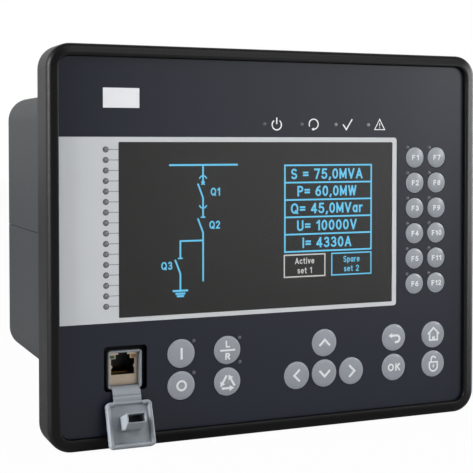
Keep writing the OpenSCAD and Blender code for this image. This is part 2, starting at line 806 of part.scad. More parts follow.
module port_frame() {
    down = (strap_bend - fold) / norm(strap_bend - fold);
    color("#9a9fa4") {
        translate([port_x, 0, port_z]) difference() {
            union() {
                translate([0, 0, -jack_drop]) plate(port_w, port_h, port_r, overlay_y + port_set, ledge_y);
                plate(recess_w - 2 * fit, recess_h - 2 * fit, recess_r - fit, ledge_y - base_t, ledge_y);
            }
            translate([0, 0, -jack_drop])
                plate(port_in_w, port_in_h, small_r, overlay_y - eps, ledge_y + eps);
        }
        across_x(strap_w) {
            strap_strip(strap_root, strap_bend, strap_t, strap_t);
            translate(strap_bend) circle(strap_t / 2, $fn = bend_facets);
            strap_strip(strap_bend, fold + down * taper_l, strap_t, strap_t);
            strap_strip(fold + down * taper_l, fold, strap_t, fold_t);
            translate(fold) circle(fold_r, $fn = bend_facets);
        }
    }
}

// Cover as it lies on the overlay when closed
module closed_cover() {
    mid_z = cover_z0 + cover_h / 2;
    root = [cover_y + cover_t / 2, cover_z0];
    up = (root - fold) / norm(root - fold);
    start = fold + up * (fold_r + fold_gap);
    difference() {
        translate([port_x, 0, mid_z]) plate(cover_w, cover_h, cover_r, cover_y, rim_y);
        translate([port_x, 0, mid_z])
            plate(cover_w - 2 * rim_w, cover_h - 2 * rim_w, rim_r, floor_y, rim_y + eps);
        box_y(port_x, cover_z0, strap_w + 2 * eps, 2 * rim_w + eps, floor_y, rim_y + eps);
        translate([port_x, 0, stub_hole_z])
            plate(stub_w - 2 * stub_wall, stub_hole, small_r, floor_y - cover_back, rim_y);
    }
    difference() {
        translate([port_x, 0, stub_z]) plate(stub_w, stub_h, stub_r, floor_y - eps, stub_y);
        translate([port_x, 0, stub_hole_z])
            plate(stub_w - 2 * stub_wall, stub_hole, small_r, floor_y - cover_back, stub_y + eps);
        across_x(2 * stub_w)
            polygon([[jack_y, stub_z1], [stub_y, stub_z1 - stub_slope], [stub_y + eps, stub_z1 - stub_slope],
                     [stub_y + eps, stub_z1 + eps], [jack_y, stub_z1 + eps]]);
    }
    across_x(strap_w) {
        strap_strip(start, fold + up * taper_l, fold_t, strap_t);
        strap_strip(fold + up * taper_l, root + up * eps, strap_t, strap_t);
    }
}

module port_cover() {
    color("#9a9fa4")
        translate([0, fold_y, fold_z]) rotate([cover_open, 0, 0]) translate([0, -fold_y, -fold_z])
            closed_cover();
}

module mounting_frame() {
    color("#8a8d91") difference() {
        plate(frame_w, frame_h, frame_r, -frame_t, 0);
        plate(case_w + 2 * fit, case_h + 2 * fit, case_r + fit, -frame_t - eps, eps);
        difference() {
            plate(gasket_out_w, gasket_out_h, gasket_r, -gasket_t, eps);
            plate(gasket_in_w, gasket_in_h, gasket_in_r, -gasket_t - eps, 2 * eps);
        }
        for (p = FRAME_BOSSES) {
            bar_y(p, pilot_r + fit, -frame_t - eps, eps);
            bar_y(p, screw_head_r + fit, -screw_head_t, eps);
        }
    }
}

module panel_gasket() {
    color("#1b1c1d") difference() {
        plate(gasket_out_w - 2 * fit, gasket_out_h - 2 * fit, gasket_r - fit, -gasket_t, 0);
        plate(gasket_in_w + 2 * fit, gasket_in_h + 2 * fit, gasket_in_r + fit, -gasket_t - eps, eps);
    }
}

// Wrap of the case with its turned front edge
module case_wrap() {
    difference() {
        union() {
            plate(case_w, case_h, case_r, edge_y, case_d);
            plate(case_w + 2 * edge_w, case_h + 2 * edge_w, case_r + edge_w, edge_y, -frame_t);
        }
        plate(in_w, in_h, in_r, edge_y - eps, case_d + eps);
        for (sx = [-1, 1]) translate([sx * clamp_pitch / 2, clamp_y, -case_h])
            cylinder(r = clamp_hole_r, h = 2 * case_h);
        for (p = FRAME_BOSSES) bar_y(p, boss_d / 2 + fit, edge_y - eps, -frame_t + fit);
    }
}

module half_space(z0, z1) {
    big_w = case_w + 4 * edge_w;
    translate([-big_w / 2, edge_y - eps, z0]) cube([big_w, case_d - edge_y + 2 * eps, z1 - z0]);
}

module upper_case() {
    color("#8b8e90") intersection() {
        case_wrap();
        half_space(seam_gap / 2, case_h);
    }
}

module lower_case() {
    color("#8b8e90") {
        intersection() {
            case_wrap();
            half_space(-case_h, -seam_gap / 2);
        }
        for (s = [-1, 1]) {
            box_y(s * (in_w - lap_t - lap_gap) / 2, 0, lap_t - lap_gap, 2 * lap_h, edge_y, rail_y - fit);
            box_y(s * (in_w - lap_t + eps) / 2, -(lap_h + seam_gap / 2) / 2,
                  lap_t + eps, lap_h - seam_gap / 2, edge_y, rail_y - fit);
        }
    }
}

module card_rails() {
    color("#b4b7ba") for (y = [card_y, rail_y], s = [-1, 1]) difference() {
        intersection() {
            box_y(0, s * (in_h / 2 - rail_h / 2), in_w, rail_h, y, y + rail_d);
            plate(in_w - 2 * fit, in_h, in_r, y, y + rail_d);
        }
        for (i = [0 : card_n - 1])
            box_y(card_x(i) + card_off, s * (in_h / 2 - rail_h), board_t + 2 * fit, 2 * slot_h,
                  y - eps, y + rail_d + eps);
        if (y == rail_y)
            for (i = [0 : card_n - 1])
                bar_y([card_x(i), s * end_screw_z], pilot_r, y - eps, y + rail_d + eps);
    }
}

module backplane() {
    color("#2f6b4a") plate(in_w - 2 * lap_t - 4 * fit, in_h - 4 * fit, in_r - 2 * fit, backplane_y, card_y);
}

module circuit_cards() {
    color("#2f6b4a") for (i = [0 : card_n - 1])
        box_y(card_x(i) + card_off, 0, board_t, card_h, card_y, end_y - end_t);
}

// Wound transformer on the card's right face: a core with a winding between its cheeks
module wound_core(slot, y, z) {
    x = card_x(slot) + card_off + board_t / 2;
    wound_h = core_h - 2 * cheek_t;
    for (s = [-1, 1])
        translate([x, y - core_l / 2, z + s * (core_h - cheek_t) / 2 - cheek_t / 2])
            cube([core_w, core_l, cheek_t]);
    translate([x + core_w / 2, y, z - wound_h / 2 - eps])
        cylinder(r = core_w / 2 - winding_in, h = wound_h + 2 * eps);
}

module card_transformers() {
    color("#7a5a34") {
        for (i = [0 : voltage_core_n - 1])
            wound_core(VOLTAGES, core_y, terminal_z(i, voltage_core_n, core_pitch));
        for (i = [0 : current_core_n - 1])
            wound_core(CURRENTS, core_y, terminal_z(i, current_core_n, core_pitch));
        wound_core(SUPPLY, core_y - core_pitch, 0);
    }
}

module output_relays() {
    color("#3a4a6b") for (i = [0 : relay_n - 1])
        translate([card_x(OUTPUTS) + card_off + board_t / 2, rail_y - relay_set - relay[1],
                   terminal_z(i, relay_n, relay_pitch) - relay[2] / 2]) cube(relay);
}

module end_plates() {
    color("#a4a7aa") for (i = [0 : card_n - 1]) difference() {
        intersection() {
            box_y((end_x0(i) + end_x1(i)) / 2, 0, end_x1(i) - end_x0(i), in_h, end_y - end_t, end_y);
            plate(in_w - 2 * fit, in_h - 2 * fit, in_r - fit, end_y - end_t, end_y);
        }
        for (s = [-1, 1]) bar_y([card_x(i), s * end_screw_z], screw_r, end_y - end_t - eps, end_y + eps);
    }
}

module module_screws() {
    color("#c4c7ca") for (i = [0 : card_n - 1], s = [-1, 1])
        screw_y([card_x(i), s * end_screw_z], pilot_r, screw_head_r, screw_head_t,
                end_y - end_t - rail_d / 2, end_y);
}

// Screw terminal block with ribs between its poles and a drilled shelf for each screw
module terminal_block(slot, n, pitch) {
    translate([card_x(slot), 0, 0]) difference() {
        union() {
            box_y(0, 0, block_w, n * pitch + rib_t, end_y, end_y + shelf_d);
            for (i = [0 : n])
                box_y(0, terminal_z(i, n + 1, pitch), block_w, rib_t, end_y, end_y + block_d);
            box_y(block_w / 2 - rib_t, 0, 2 * rib_t, n * pitch + rib_t, end_y, end_y + block_d);
        }
        for (i = [0 : n - 1])
            bar_y([-rib_t, terminal_z(i, n, pitch)], pilot_r, end_y + eps, end_y + shelf_d + eps);
    }
}

module current_terminals() {
    color("#26282b") terminal_block(CURRENTS, current_n, current_pitch);
}

module voltage_terminals() {
    color("#26282b") terminal_block(VOLTAGES, voltage_n, voltage_pitch);
}

// Terminal screw with its square clamp washer
module terminal_screw(x, z) {
    y = end_y + shelf_d;
    box_y(x, z, 2 * clamp_r, 2 * clamp_r, y, y + clamp_t);
    screw_y([x, z], pilot_r, screw_head_r, screw_head_t, y - shelf_d / 2, y + clamp_t);
}

module terminal_screws() {
    color("#c4c7ca") {
        for (i = [0 : current_n - 1])
            terminal_screw(card_x(CURRENTS) - rib_t, terminal_z(i, current_n, current_pitch));
        for (i = [0 : voltage_n - 1])
            terminal_screw(card_x(VOLTAGES) - rib_t, terminal_z(i, voltage_n, voltage_pitch));
    }
}

// Header shroud that a plug is pushed on
module plug_headers() {
    color("#3f6d4d") for (p = PLUGS) difference() {
        box_y(card_x(p[0]), p[1], header_w, p[2] * pole_pitch, end_y, end_y + header_d);
        box_y(card_x(p[0]), p[1], header_w - 2 * header_wall, p[2] * pole_pitch - 2 * header_wall,
              end_y + header_wall, end_y + header_d + eps);
    }
}

// Plug with a wire entry and a screw hole for every pole
module terminal_plugs() {
    y0 = end_y + header_d;
    color("#3f6d4d") for (p = PLUGS) difference() {
        box_y(card_x(p[0]), p[1], plug_w, p[2] * pole_pitch + 2 * plug_end, y0, y0 + plug_d);
        for (i = [0 : p[2] - 1]) {
            z = p[1] + terminal_z(i, p[2], pole_pitch);
            box_y(card_x(p[0]) + plug_w / 4, z, wire_w, wire_h, y0 + plug_d / 3, y0 + plug_d + eps);
            bar_y([card_x(p[0]) - plug_w / 4, z], tool_r, y0 + plug_d / 2, y0 + plug_d + eps);
        }
    }
}

module rear_jack() {
    base_y = end_y + rear_jack_base;
    color("#b7aa9c") translate([card_x(PROCESSOR), 0, rear_jack_z]) difference() {
        box_y(0, 0, jack_w, jack_h, end_y, base_y + socket_l);
        along_y(base_y, base_y + socket_l + eps) socket_outline();
    }
}

module earth_stud() {
    color("#c9b26a") {
        translate([card_x(SUPPLY), end_y + stud_base_t, stud_z])
            rotate([90, 0, 0]) cylinder(r = stud_base_r, h = stud_base_t, $fn = 6);
        bar_y([card_x(SUPPLY), stud_z], stud_r, end_y + stud_base_t - eps, end_y + stud_base_t + stud_l);
    }
}

front_bezel();
front_overlay();
display_window();
display_module();
front_board();
key_switches();
alarm_lamps();
status_lamps();
key_lamps();
front_screws();
jack_shield();
jack_insert();
jack_contacts();
jack_lamps();
port_board();
port_frame();
port_cover();
mounting_frame();
panel_gasket();
upper_case();
lower_case();
card_rails();
backplane();
circuit_cards();
card_transformers();
output_relays();
end_plates();
module_screws();
current_terminals();
voltage_terminals();
terminal_screws();
plug_headers();
terminal_plugs();
rear_jack();
earth_stud();
for (k = KEYS)
    key_cap(k[1], k[2], k[3]);
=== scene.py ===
"""Looks of a panel-mounted protection relay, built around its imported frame.

Shapes are worked out in millimetres in the part's own frame and become metres when a piece is placed.
"""

import json
import logging
import math
from dataclasses import dataclass, replace
from enum import Enum
from typing import Any, Callable, Iterable, Sequence

import bpy
import numpy as np
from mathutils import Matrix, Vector


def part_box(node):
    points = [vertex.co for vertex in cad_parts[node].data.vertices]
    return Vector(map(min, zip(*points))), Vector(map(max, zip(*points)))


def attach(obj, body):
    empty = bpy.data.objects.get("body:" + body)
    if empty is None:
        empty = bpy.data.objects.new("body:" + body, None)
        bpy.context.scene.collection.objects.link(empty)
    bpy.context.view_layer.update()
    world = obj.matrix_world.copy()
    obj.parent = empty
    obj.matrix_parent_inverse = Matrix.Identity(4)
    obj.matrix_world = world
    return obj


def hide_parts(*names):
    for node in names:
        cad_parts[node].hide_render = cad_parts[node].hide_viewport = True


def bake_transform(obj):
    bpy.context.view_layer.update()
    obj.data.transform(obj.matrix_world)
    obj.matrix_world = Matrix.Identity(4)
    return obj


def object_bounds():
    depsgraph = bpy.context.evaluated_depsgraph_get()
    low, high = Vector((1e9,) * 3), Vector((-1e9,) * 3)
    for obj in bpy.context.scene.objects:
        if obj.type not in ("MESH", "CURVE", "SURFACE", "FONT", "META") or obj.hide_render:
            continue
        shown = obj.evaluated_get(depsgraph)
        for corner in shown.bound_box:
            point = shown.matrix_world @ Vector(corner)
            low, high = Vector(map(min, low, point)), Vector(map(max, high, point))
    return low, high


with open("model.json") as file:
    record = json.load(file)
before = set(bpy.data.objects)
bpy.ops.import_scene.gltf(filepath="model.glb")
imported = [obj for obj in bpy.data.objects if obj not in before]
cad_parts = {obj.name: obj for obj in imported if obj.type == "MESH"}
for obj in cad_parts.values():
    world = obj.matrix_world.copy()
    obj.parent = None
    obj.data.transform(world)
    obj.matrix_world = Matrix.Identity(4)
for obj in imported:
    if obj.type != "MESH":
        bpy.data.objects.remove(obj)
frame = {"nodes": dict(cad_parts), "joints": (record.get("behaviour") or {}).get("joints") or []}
CAD_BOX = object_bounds()

MM = 0.001
LOG = logging.getLogger("relay")
SHARP_ANGLE = math.radians(32)

Colour = tuple[float, float, float, float]
Spot = tuple[float, float, float]
Pair = tuple[float, float]
WHITE: Colour = (1.0, 1.0, 1.0, 1.0)


class Body(Enum):
    """CAD bodies that carry new pieces, apart from the keys' own."""

    RELAY = "relay"
    COVER = "cover"


@dataclass(frozen=True)
class NodeBox:
    """Box of a CAD node in millimetres."""

    low: np.ndarray
    high: np.ndarray

    @classmethod
    def of(cls, node: str) -> "NodeBox":
        """Reads a node's box from the frame."""
        low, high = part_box(node)
        return cls(np.array(low) / MM, np.array(high) / MM)

    @property
    def middle(self) -> np.ndarray:
        """The middle of the box."""
        return (self.low + self.high) / 2


def tone(red: float, green: float, blue: float) -> Colour:
    """Gives the linear colour of an sRGB tone.

    Args:
        red: Red from 0 to 255.
        green: Green from 0 to 255.
        blue: Blue from 0 to 255.

    Returns:
        Linear red, green, blue and an alpha of 1.
    """
    share = np.array([red, green, blue]) / 255
    linear = np.where(share <= 0.04045, share / 12.92, ((share + 0.055) / 1.055) ** 2.4)
    return (*(float(value) for value in linear), 1.0)


def joins(operation: str, swapped: bool = False) -> Callable[["Wire", Any], "Wire"]:
    """Makes a method of Wire that joins two values with one Math node.

    Args:
        operation: Blender's name of the node's operation.
        swapped: Whether the other value comes first.

    Returns:
        The method.
    """

    def method(self: "Wire", other: Any) -> "Wire":
        """Joins this wire and a number or a wire."""
        pair = (other, self) if swapped else (self, other)
        return self.shader.node("ShaderNodeMath", dict(enumerate(pair)), {"operation": operation})

    return method


class Wire:
    """An output socket that takes part in Python expressions; each operation adds a Math node."""

    def __init__(self, shader: "Shader", socket: bpy.types.NodeSocket) -> None:
        """Keeps the socket and the shader that it belongs to."""
        self.shader = shader
        self.socket = socket

    __add__ = joins("ADD")
    __radd__ = joins("ADD", swapped=True)
    __sub__ = joins("SUBTRACT")
    __rsub__ = joins("SUBTRACT", swapped=True)
    __mul__ = joins("MULTIPLY")
    __gt__ = joins("GREATER_THAN")
    peak = joins("MAXIMUM")
    least = joins("MINIMUM")
    power = joins("POWER")


class Shader:
    """A node tree that is emptied and then filled by one method that makes any node."""

    def __init__(self, tree: bpy.types.NodeTree) -> None:
        """Empties the tree and keeps it."""
        tree.nodes.clear()
        self.tree = tree

    def node(
        self,
        kind: str,
        inputs: dict[str | int, Any] | None = None,
        settings: dict[str, Any] | None = None,
        output: str | int = 0,
    ) -> Wire | None:
        """Makes one node.

        Args:
            kind: Blender's name of the node's type.
            inputs: Values or wires for its input sockets, by name or number.
            settings: The node's own settings, set before its sockets.
            output: The output socket to hand back, by name or number.

        Returns:
            The chosen output as a wire, or None for a node without outputs.
        """
        made = self.tree.nodes.new(kind)
        for name, value in (settings or {}).items():
            setattr(made, name, value)
        for name, value in (inputs or {}).items():
            if isinstance(value, Wire):
                self.tree.links.new(value.socket, made.inputs[name])
            else:
                made.inputs[name].default_value = value
        return Wire(self, made.outputs[output]) if made.outputs else None

    def place(self, stretch: Spot = (1, 1, 1)) -> Wire:
        """Gives Object coordinates, stretched along the axes.

        Args:
            stretch: Factors along X, Y and Z.

        Returns:
            The coordinates.
        """
        at = self.node("ShaderNodeTexCoord", output="Object")
        if stretch == (1, 1, 1):
            return at
        return self.node("ShaderNodeMapping", {"Vector": at, "Scale": stretch})

    def noise(self, at: Wire, scale: float, detail: float = 2.0) -> Wire:
        """Gives a noise from 0 to 1 with that many cells to the metre."""
        return self.node("ShaderNodeTexNoise", {"Vector": at, "Scale": scale, "Detail": detail})

    def blend(self, first: Any, second: Any, amount: Wire) -> Wire:
        """Mixes two colours by an amount from 0 to 1."""
        settings = {"data_type": "RGBA", "clamp_factor": True}
        return self.node("ShaderNodeMix", {0: amount, 6: first, 7: second}, settings, output=2)

    def bump(self, height: Wire, depth: float, under: Wire | None = None) -> Wire:
        """Turns a height from 0 to 1 into normals for a relief of that depth in metres, over others."""
        inputs = {"Strength": 1.0, "Distance": depth, "Height": height}
        return self.node("ShaderNodeBump", inputs | ({"Normal": under} if under else {}))

    def axis(self, name: str) -> Wire:
        """Gives one Object coordinate."""
        return self.node("ShaderNodeSeparateXYZ", {0: self.place()}, output=name)

    def finish(self, surface: Wire, kind: str = "ShaderNodeOutputMaterial") -> None:
        """Links a closure to the tree's output."""
        self.node(kind, {"Surface": surface})


@dataclass(frozen=True)
class Finish:
    """Moulded or printed surface: a tone with a broad mottle and a fine grain.

    The mottle changes the colour by a share either way, and the grain changes the roughness and the normals.
    """

    name: str
    colour: Colour
    rough: float = 0.5
    metallic: float = 0.0
    specular: float = 0.5
    mottle: float = 0.05
    mottle_scale: float = 40.0
    grain: float = 2600.0
    depth: float = 1.2e-5
    coat: float = 0.0
    rough_swing: float = 0.12

    def material(self) -> bpy.types.Material:
        """Gives this finish's material, made on first use.

        Returns:
            The material.
        """
        found = bpy.data.materials.get(self.name)
        if found:
            return found
        made = bpy.data.materials.new(self.name)
        made.use_nodes = True
        shader = Shader(made.node_tree)
        shader.finish(self.surface(shader))
        return made

    def shade(self, share: float) -> Colour:
        """Gives the finish's colour made lighter or darker by a share."""
        return (*(min(1.0, value * share) for value in self.colour[:3]), 1.0)

    def height(self, shader: Shader) -> Wire:
        """Gives the relief of the surface from 0 to 1."""
        return shader.noise(shader.place(), self.grain)

    def base(self, shader: Shader) -> Wire:
        """Gives the colour over the surface."""
        broad = shader.noise(shader.place(), self.mottle_scale, 4.0)
        return shader.blend(self.shade(1 - self.mottle), self.shade(1 + self.mottle), broad)

    def surface(self, shader: Shader) -> Wire:
        """Builds the closure of this finish."""
        relief = self.height(shader)
        return shader.node(
            "ShaderNodeBsdfPrincipled",
            {
                "Base Color": self.base(shader),
                "Roughness": self.rough + (relief - 0.5) * self.rough_swing,
                "Metallic": self.metallic,
                "Specular IOR Level": self.specular,
                "Coat Weight": self.coat,
                "Normal": self.normals(shader, relief),
            },
        )

    def normals(self, shader: Shader, relief: Wire) -> Wire:
        """Gives the surface's normals."""
        return shader.bump(relief, self.depth)


@dataclass(frozen=True)
class SlopedLip(Finish):
    """Moulding whose front lip leans outwards as a relief that falls towards a rounded outline."""

    half: Pair = (0.0, 0.0)
    corner: float = 0.0
    reach: float = 1.0
    fall: float = 0.0

    def normals(self, shader: Shader, relief: Wire) -> Wire:
        """Adds the slope to the grain.

        The distance inside a rounded rectangle is its corner radius, less the length of what passes the
        corners' middles, less the larger of the two offsets where both stay short of them.

        Args:
            shader: The tree that takes the nodes.
            relief: The grain from 0 to 1.

        Returns:
            The normals.
        """
        at = [shader.axis(name) for name in ("X", "Z")]
        past = [wire.peak(0.0 - wire) - (half - self.corner) for wire, half in zip(at, self.half)]
        out = (past[0].peak(0.0).power(2.0) + past[1].peak(0.0).power(2.0)).power(0.5)
        inside = self.corner - out - past[0].peak(past[1]).least(0.0)
        height = (inside * (1 / self.reach)).least(1.0).peak(0.0)
        return shader.bump(relief, self.depth, shader.bump(height, self.fall))


@dataclass(frozen=True)
class Brushed(Finish):
    """Metal with fine marks along one direction."""

    stretch: Spot = (1.0, 1.0, 0.04)

    def height(self, shader: Shader) -> Wire:
        """Gives marks that are long where the stretch is small."""
        return shader.noise(shader.place(self.stretch), self.grain, 3.0)


@dataclass(frozen=True)
class PowderCoat(Finish):
    """Painted sheet metal: a coarse, soft orange peel under a fine sparkle."""

    peel: float = 700.0
    peel_share: float = 0.7

    def height(self, shader: Shader) -> Wire:
        """Adds the peel's soft waves to the grain.

        Args:
            shader: The tree that takes the nodes.

        Returns:
            The relief from 0 to 1.
        """
        at = shader.place()
        waves, grain = shader.noise(at, self.peel, 1.0), shader.noise(at, self.grain)
        return waves * self.peel_share + grain * (1 - self.peel_share)


@dataclass(frozen=True)
class Glow(Finish):
    """Pixels of the lit screen."""

    glow: float = 1.0
    unlit: float = 0.1

    def surface(self, shader: Shader) -> Wire:
        """Builds a dark surface that gives off the finish's colour, with a faint flicker between pixels."""
        relief = self.height(shader)
        return shader.node(
            "ShaderNodeBsdfPrincipled",
            {
                "Base Color": self.shade(self.unlit),
                "Roughness": self.rough,
                "Emission Color": shader.blend(self.shade(1 - self.mottle), self.colour, relief),
                "Emission Strength": self.glow,
            },
        )


@dataclass(frozen=True)
class ClearFilm(Finish):
    """Clear window with an antiglare face: it lets the screen show and reflects softly."""

    through: Colour = tone(250, 250, 250)
    index: float = 1.45

    def surface(self, shader: Shader) -> Wire:
        """Mixes a see-through closure with a rough gloss by the angle of view.

        Args:
            shader: The tree that takes the nodes.

        Returns:
            The mixed closure.
        """
        relief = self.height(shader)
        gloss = shader.node(
            "ShaderNodeBsdfGlossy",
            {"Color": self.colour, "Roughness": self.rough, "Normal": shader.bump(relief, self.depth)},
        )
        clear = shader.node("ShaderNodeBsdfTransparent", {"Color": self.through})
        amount = shader.node("ShaderNodeFresnel", {"IOR": self.index})
        return shader.node("ShaderNodeMixShader", {0: amount, 1: clear, 2: gloss})


@dataclass(frozen=True)
class Laminate(Finish):
    """Circuit board: solder mask with lighter tracks beneath it."""

    tracks: float = 320.0
    stretch: Spot = (0.15, 1.0, 1.0)
    band: Pair = (0.52, 0.56)
    track_shade: float = 1.7

    def base(self, shader: Shader) -> Wire:
        """Lightens the mask where thin bands of a stretched noise lie, as tracks show through it.

        Args:
            shader: The tree that takes the nodes.

        Returns:
            The colour over the surface.
        """
        across = shader.noise(shader.place(self.stretch), self.tracks, 0.0)
        band = (across > self.band[0]) - (across > self.band[1])
        return shader.blend(self.colour, self.shade(self.track_shade), band)


@dataclass(frozen=True)
class LampPair(Finish):
    """Two clear lamps of one node, coloured by the side of its middle that they stand on."""

    other: Colour = (0.0, 0.0, 0.0, 1.0)
    middle: float = 0.0

    def base(self, shader: Shader) -> Wire:
        """Gives the other colour to the right of the middle."""
        return shader.blend(self.colour, self.other, shader.axis("X") > self.middle)


BEZEL_BOX = NodeBox.of("front_bezel")
BEZEL = SlopedLip(
    "bezel moulding",
    tone(8, 8, 9),
    0.45,
    specular=0.2,
    grain=1700,
    depth=3e-5,
    half=tuple(float(value) * MM for value in BEZEL_BOX.high[[0, 2]]),
    corner=0.012,
    reach=0.0044,
    fall=0.0019,
)
OVERLAY = Finish("overlay film", tone(15, 21, 37), 0.34, specular=0.42, mottle=0.04, grain=5200, depth=6e-6)
SILVER = Finish("silver print", tone(205, 208, 211), 0.45, specular=0.3, mottle=0.02, grain=4200, depth=5e-6)
PRINT_WHITE = Finish("white print", tone(244, 245, 246), 0.5, mottle=0.02, grain=3800, depth=4e-6)
PRINT_GREY = Finish("grey print", tone(140, 142, 145), 0.5, mottle=0.03, grain=3800, depth=4e-6)
PLATE = Finish("plain plate", tone(240, 241, 244), 0.4, mottle=0.015, grain=3600, depth=5e-6)
KEY_PRINT = Finish("key print", tone(226, 228, 231), 0.5, mottle=0.02, grain=3800, depth=4e-6)
KEY = Finish("key moulding", tone(147, 152, 159), 0.22, mottle=0.03, grain=2400, depth=9e-6)
LENS = Finish("lamp lens", tone(114, 115, 115), 0.25, mottle=0.08, grain=1500, depth=6e-6, coat=0.5)
LENS_RIM = Finish("lamp rim", tone(62, 63, 65), 0.4, mottle=0.08, grain=1500, depth=6e-6)
CLEAR_LENS = Finish("clear small lens", tone(126, 126, 127), 0.3, mottle=0.08, grain=1500, depth=6e-6)
DIM_LENS = Finish("small lamp lens", tone(80, 82, 86), 0.3, mottle=0.08, grain=1500, depth=6e-6)
PORT_LAMPS = LampPair(
    "port lamps",
    tone(22, 96, 62),
    0.3,
    other=tone(156, 112, 34),
    middle=float(NodeBox.of("jack_lamps").middle[0]) * MM,
)
WINDOW = ClearFilm("antiglare window", tone(255, 255, 255), 0.32, grain=6000, depth=4e-6)
SCREEN = Finish("dark screen", tone(60, 59, 57), 0.6, specular=0.1, mottle=0.03, grain=3000, depth=2e-6)
PIXEL_BLUE = Glow("blue pixels", tone(98, 200, 240), 0.5, mottle=0.06, grain=4200)
PIXEL_PALE = Glow("pale pixels", tone(205, 205, 203), 0.5, mottle=0.06, grain=4200)
BOARD = Laminate("circuit board", tone(38, 92, 62), 0.45, grain=1800)
SWITCH = Finish("switch moulding", tone(26, 26, 28), 0.5)
SHIELD = Brushed("tinned shield", tone(190, 175, 157), 0.36, metallic=1.0, grain=2400, depth=6e-6)
INSERT = Finish("socket moulding", tone(22, 21, 20), 0.45)
GOLD = Brushed("gilt contact", tone(212, 168, 84), 0.25, metallic=1.0, depth=3e-6)
RUBBER = Finish(
    "soft port moulding", tone(134, 140, 146), 0.55, specular=0.35, mottle=0.03, grain=1900, depth=1.6e-5
)
# Near-black finish of the port frame's flange: painted shade of the recess round the socket, not the soft
# moulding's own grey.
FLANGE_SHADE = Finish("flange painted shade", tone(20, 19, 18), 0.6, specular=0.15)
FRAME = PowderCoat("frame coat", tone(120, 122, 125), 0.5, grain=3000, depth=2e-5)
FOAM = Finish(
    "foam seal", tone(24, 24, 25), 0.9, specular=0.1, mottle=0.2, mottle_scale=1500, grain=1400, depth=8e-5
)
CASE = PowderCoat("case coat", tone(46, 48, 50), 0.5, specular=0.1, mottle=0.03, grain=2600, depth=1.8e-5)
RAIL = Brushed("rail extrusion", tone(196, 198, 200), 0.35, metallic=1.0, stretch=(0.03, 1.0, 1.0))
CORE = Finish("wound core", tone(112, 84, 52), 0.5, mottle=0.25, mottle_scale=700)
RELAY_BOX = Finish("relay box", tone(58, 74, 106), 0.3)
END_PLATE = Brushed("rear plate", tone(176, 178, 180), 0.4, metallic=0.9, stretch=(1.0, 1.0, 0.03))
SCREW = Brushed("plated screw", tone(206, 208, 210), 0.3, metallic=1.0, stretch=(1.0, 1.0, 1.0))
TERMINAL = Finish("terminal moulding", tone(34, 35, 37), 0.5, grain=1500)
PLUG = Finish("plug moulding", tone(58, 122, 82), 0.45, grain=1500)
STUD = Brushed("brass stud", tone(206, 178, 104), 0.3, metallic=1.0, stretch=(1.0, 0.04, 1.0))

NODE_FINISHES: dict[str, Finish] = {
    "front_bezel": BEZEL,
    "front_overlay": OVERLAY,
    "display_window": WINDOW,
    "display_module": SCREEN,
    "front_board": BOARD,
    "key_switches": SWITCH,
    "alarm_lamps": LENS,
    "status_lamps": DIM_LENS,
    "key_lamps": DIM_LENS,
    "front_screws": SCREW,
    "jack_shield": SHIELD,
    "jack_insert": INSERT,
    "jack_contacts": GOLD,
    "jack_lamps": PORT_LAMPS,
    "port_board": BOARD,
    "port_frame": RUBBER,
    "port_cover": RUBBER,
    "mounting_frame": FRAME,
    "panel_gasket": FOAM,
    "upper_case": CASE,
    "lower_case": CASE,
    "card_rails": RAIL,
    "backplane": BOARD,
    "circuit_cards": BOARD,
    "card_transformers": CORE,
    "output_relays": RELAY_BOX,
    "end_plates": END_PLATE,
    "module_screws": SCREW,
    "current_terminals": TERMINAL,
    "voltage_terminals": TERMINAL,
    "terminal_screws": SCREW,
    "plug_headers": PLUG,
    "terminal_plugs": PLUG,
    "rear_jack": SHIELD,
    "earth_stud": STUD,
}


@dataclass
class Shape:
    """Points in millimetres and the faces on them."""

    points: np.ndarray
    faces: list[list[int]]

    @staticmethod
    def joined(shapes: Iterable["Shape"]) -> "Shape":
        """Puts several shapes together as one.

        Args:
            shapes: The shapes to join.

        Returns:
            One shape with all their points and faces.
        """
        points: list[np.ndarray] = []
        faces: list[list[int]] = []
        count = 0
        for shape in shapes:
            points.append(shape.points)
            faces.extend([[index + count for index in face] for face in shape.faces])
            count += len(shape.points)
        return Shape(np.concatenate(points), faces)

    def moved(self, x: float, y: float, z: float) -> "Shape":
        """Gives the shape moved by x, y and z."""
        return Shape(self.points + np.array([x, y, z]), self.faces)

    def turned(self, about: Pair, degrees: float) -> "Shape":
        """Gives the shape turned about the X axis through a point (y, z).

        Args:
            about: The point as (y, z).
            degrees: The angle, from +Y towards +Z.

        Returns:
            The turned shape.
        """
        c, s = math.cos(math.radians(degrees)), math.sin(math.radians(degrees))
        middle = np.array([0.0, *about])
        turn = np.array([[1, 0, 0], [0, c, s], [0, -s, c]])
        return Shape((self.points - middle) @ turn + middle, self.faces)

    def place(
        self,
        name: str,
        finish: Finish,
        body: str,
        slot: str,
        replaces: Sequence[str] = (),
        bend: tuple[Sequence[float], Sequence[float]] | None = None,
    ) -> bpy.types.Object:
        """Makes the shape a Blender object that rides on a CAD body.

        Args:
            name: The piece's name.
            finish: The finish that it gets.
            body: The CAD body that it moves with.
            slot: The record's material slot that its finish belongs to; not used.
            replaces: CAD nodes that it stands for.
            bend: Where a piece that joins the relay to the body would start and end to bend; when given, the
                piece keeps its place in world space, rides on no body, and nothing bends it.

        Returns:
            The new object.
        """
        mesh = bpy.data.meshes.new(name)
        mesh.from_pydata((self.points * MM).tolist(), [], self.faces)
        mesh.shade_smooth()
        mesh.set_sharp_from_angle(angle=SHARP_ANGLE)
        mesh.materials.append(finish.material())
        made = bpy.data.objects.new(name, mesh)
        bpy.context.scene.collection.objects.link(made)
        if bend:
            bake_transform(made)
        else:
            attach(made, body)
        if replaces:
            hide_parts(*replaces)
        LOG.info("%s: %d faces on %s", name, len(self.faces), body)
        return made


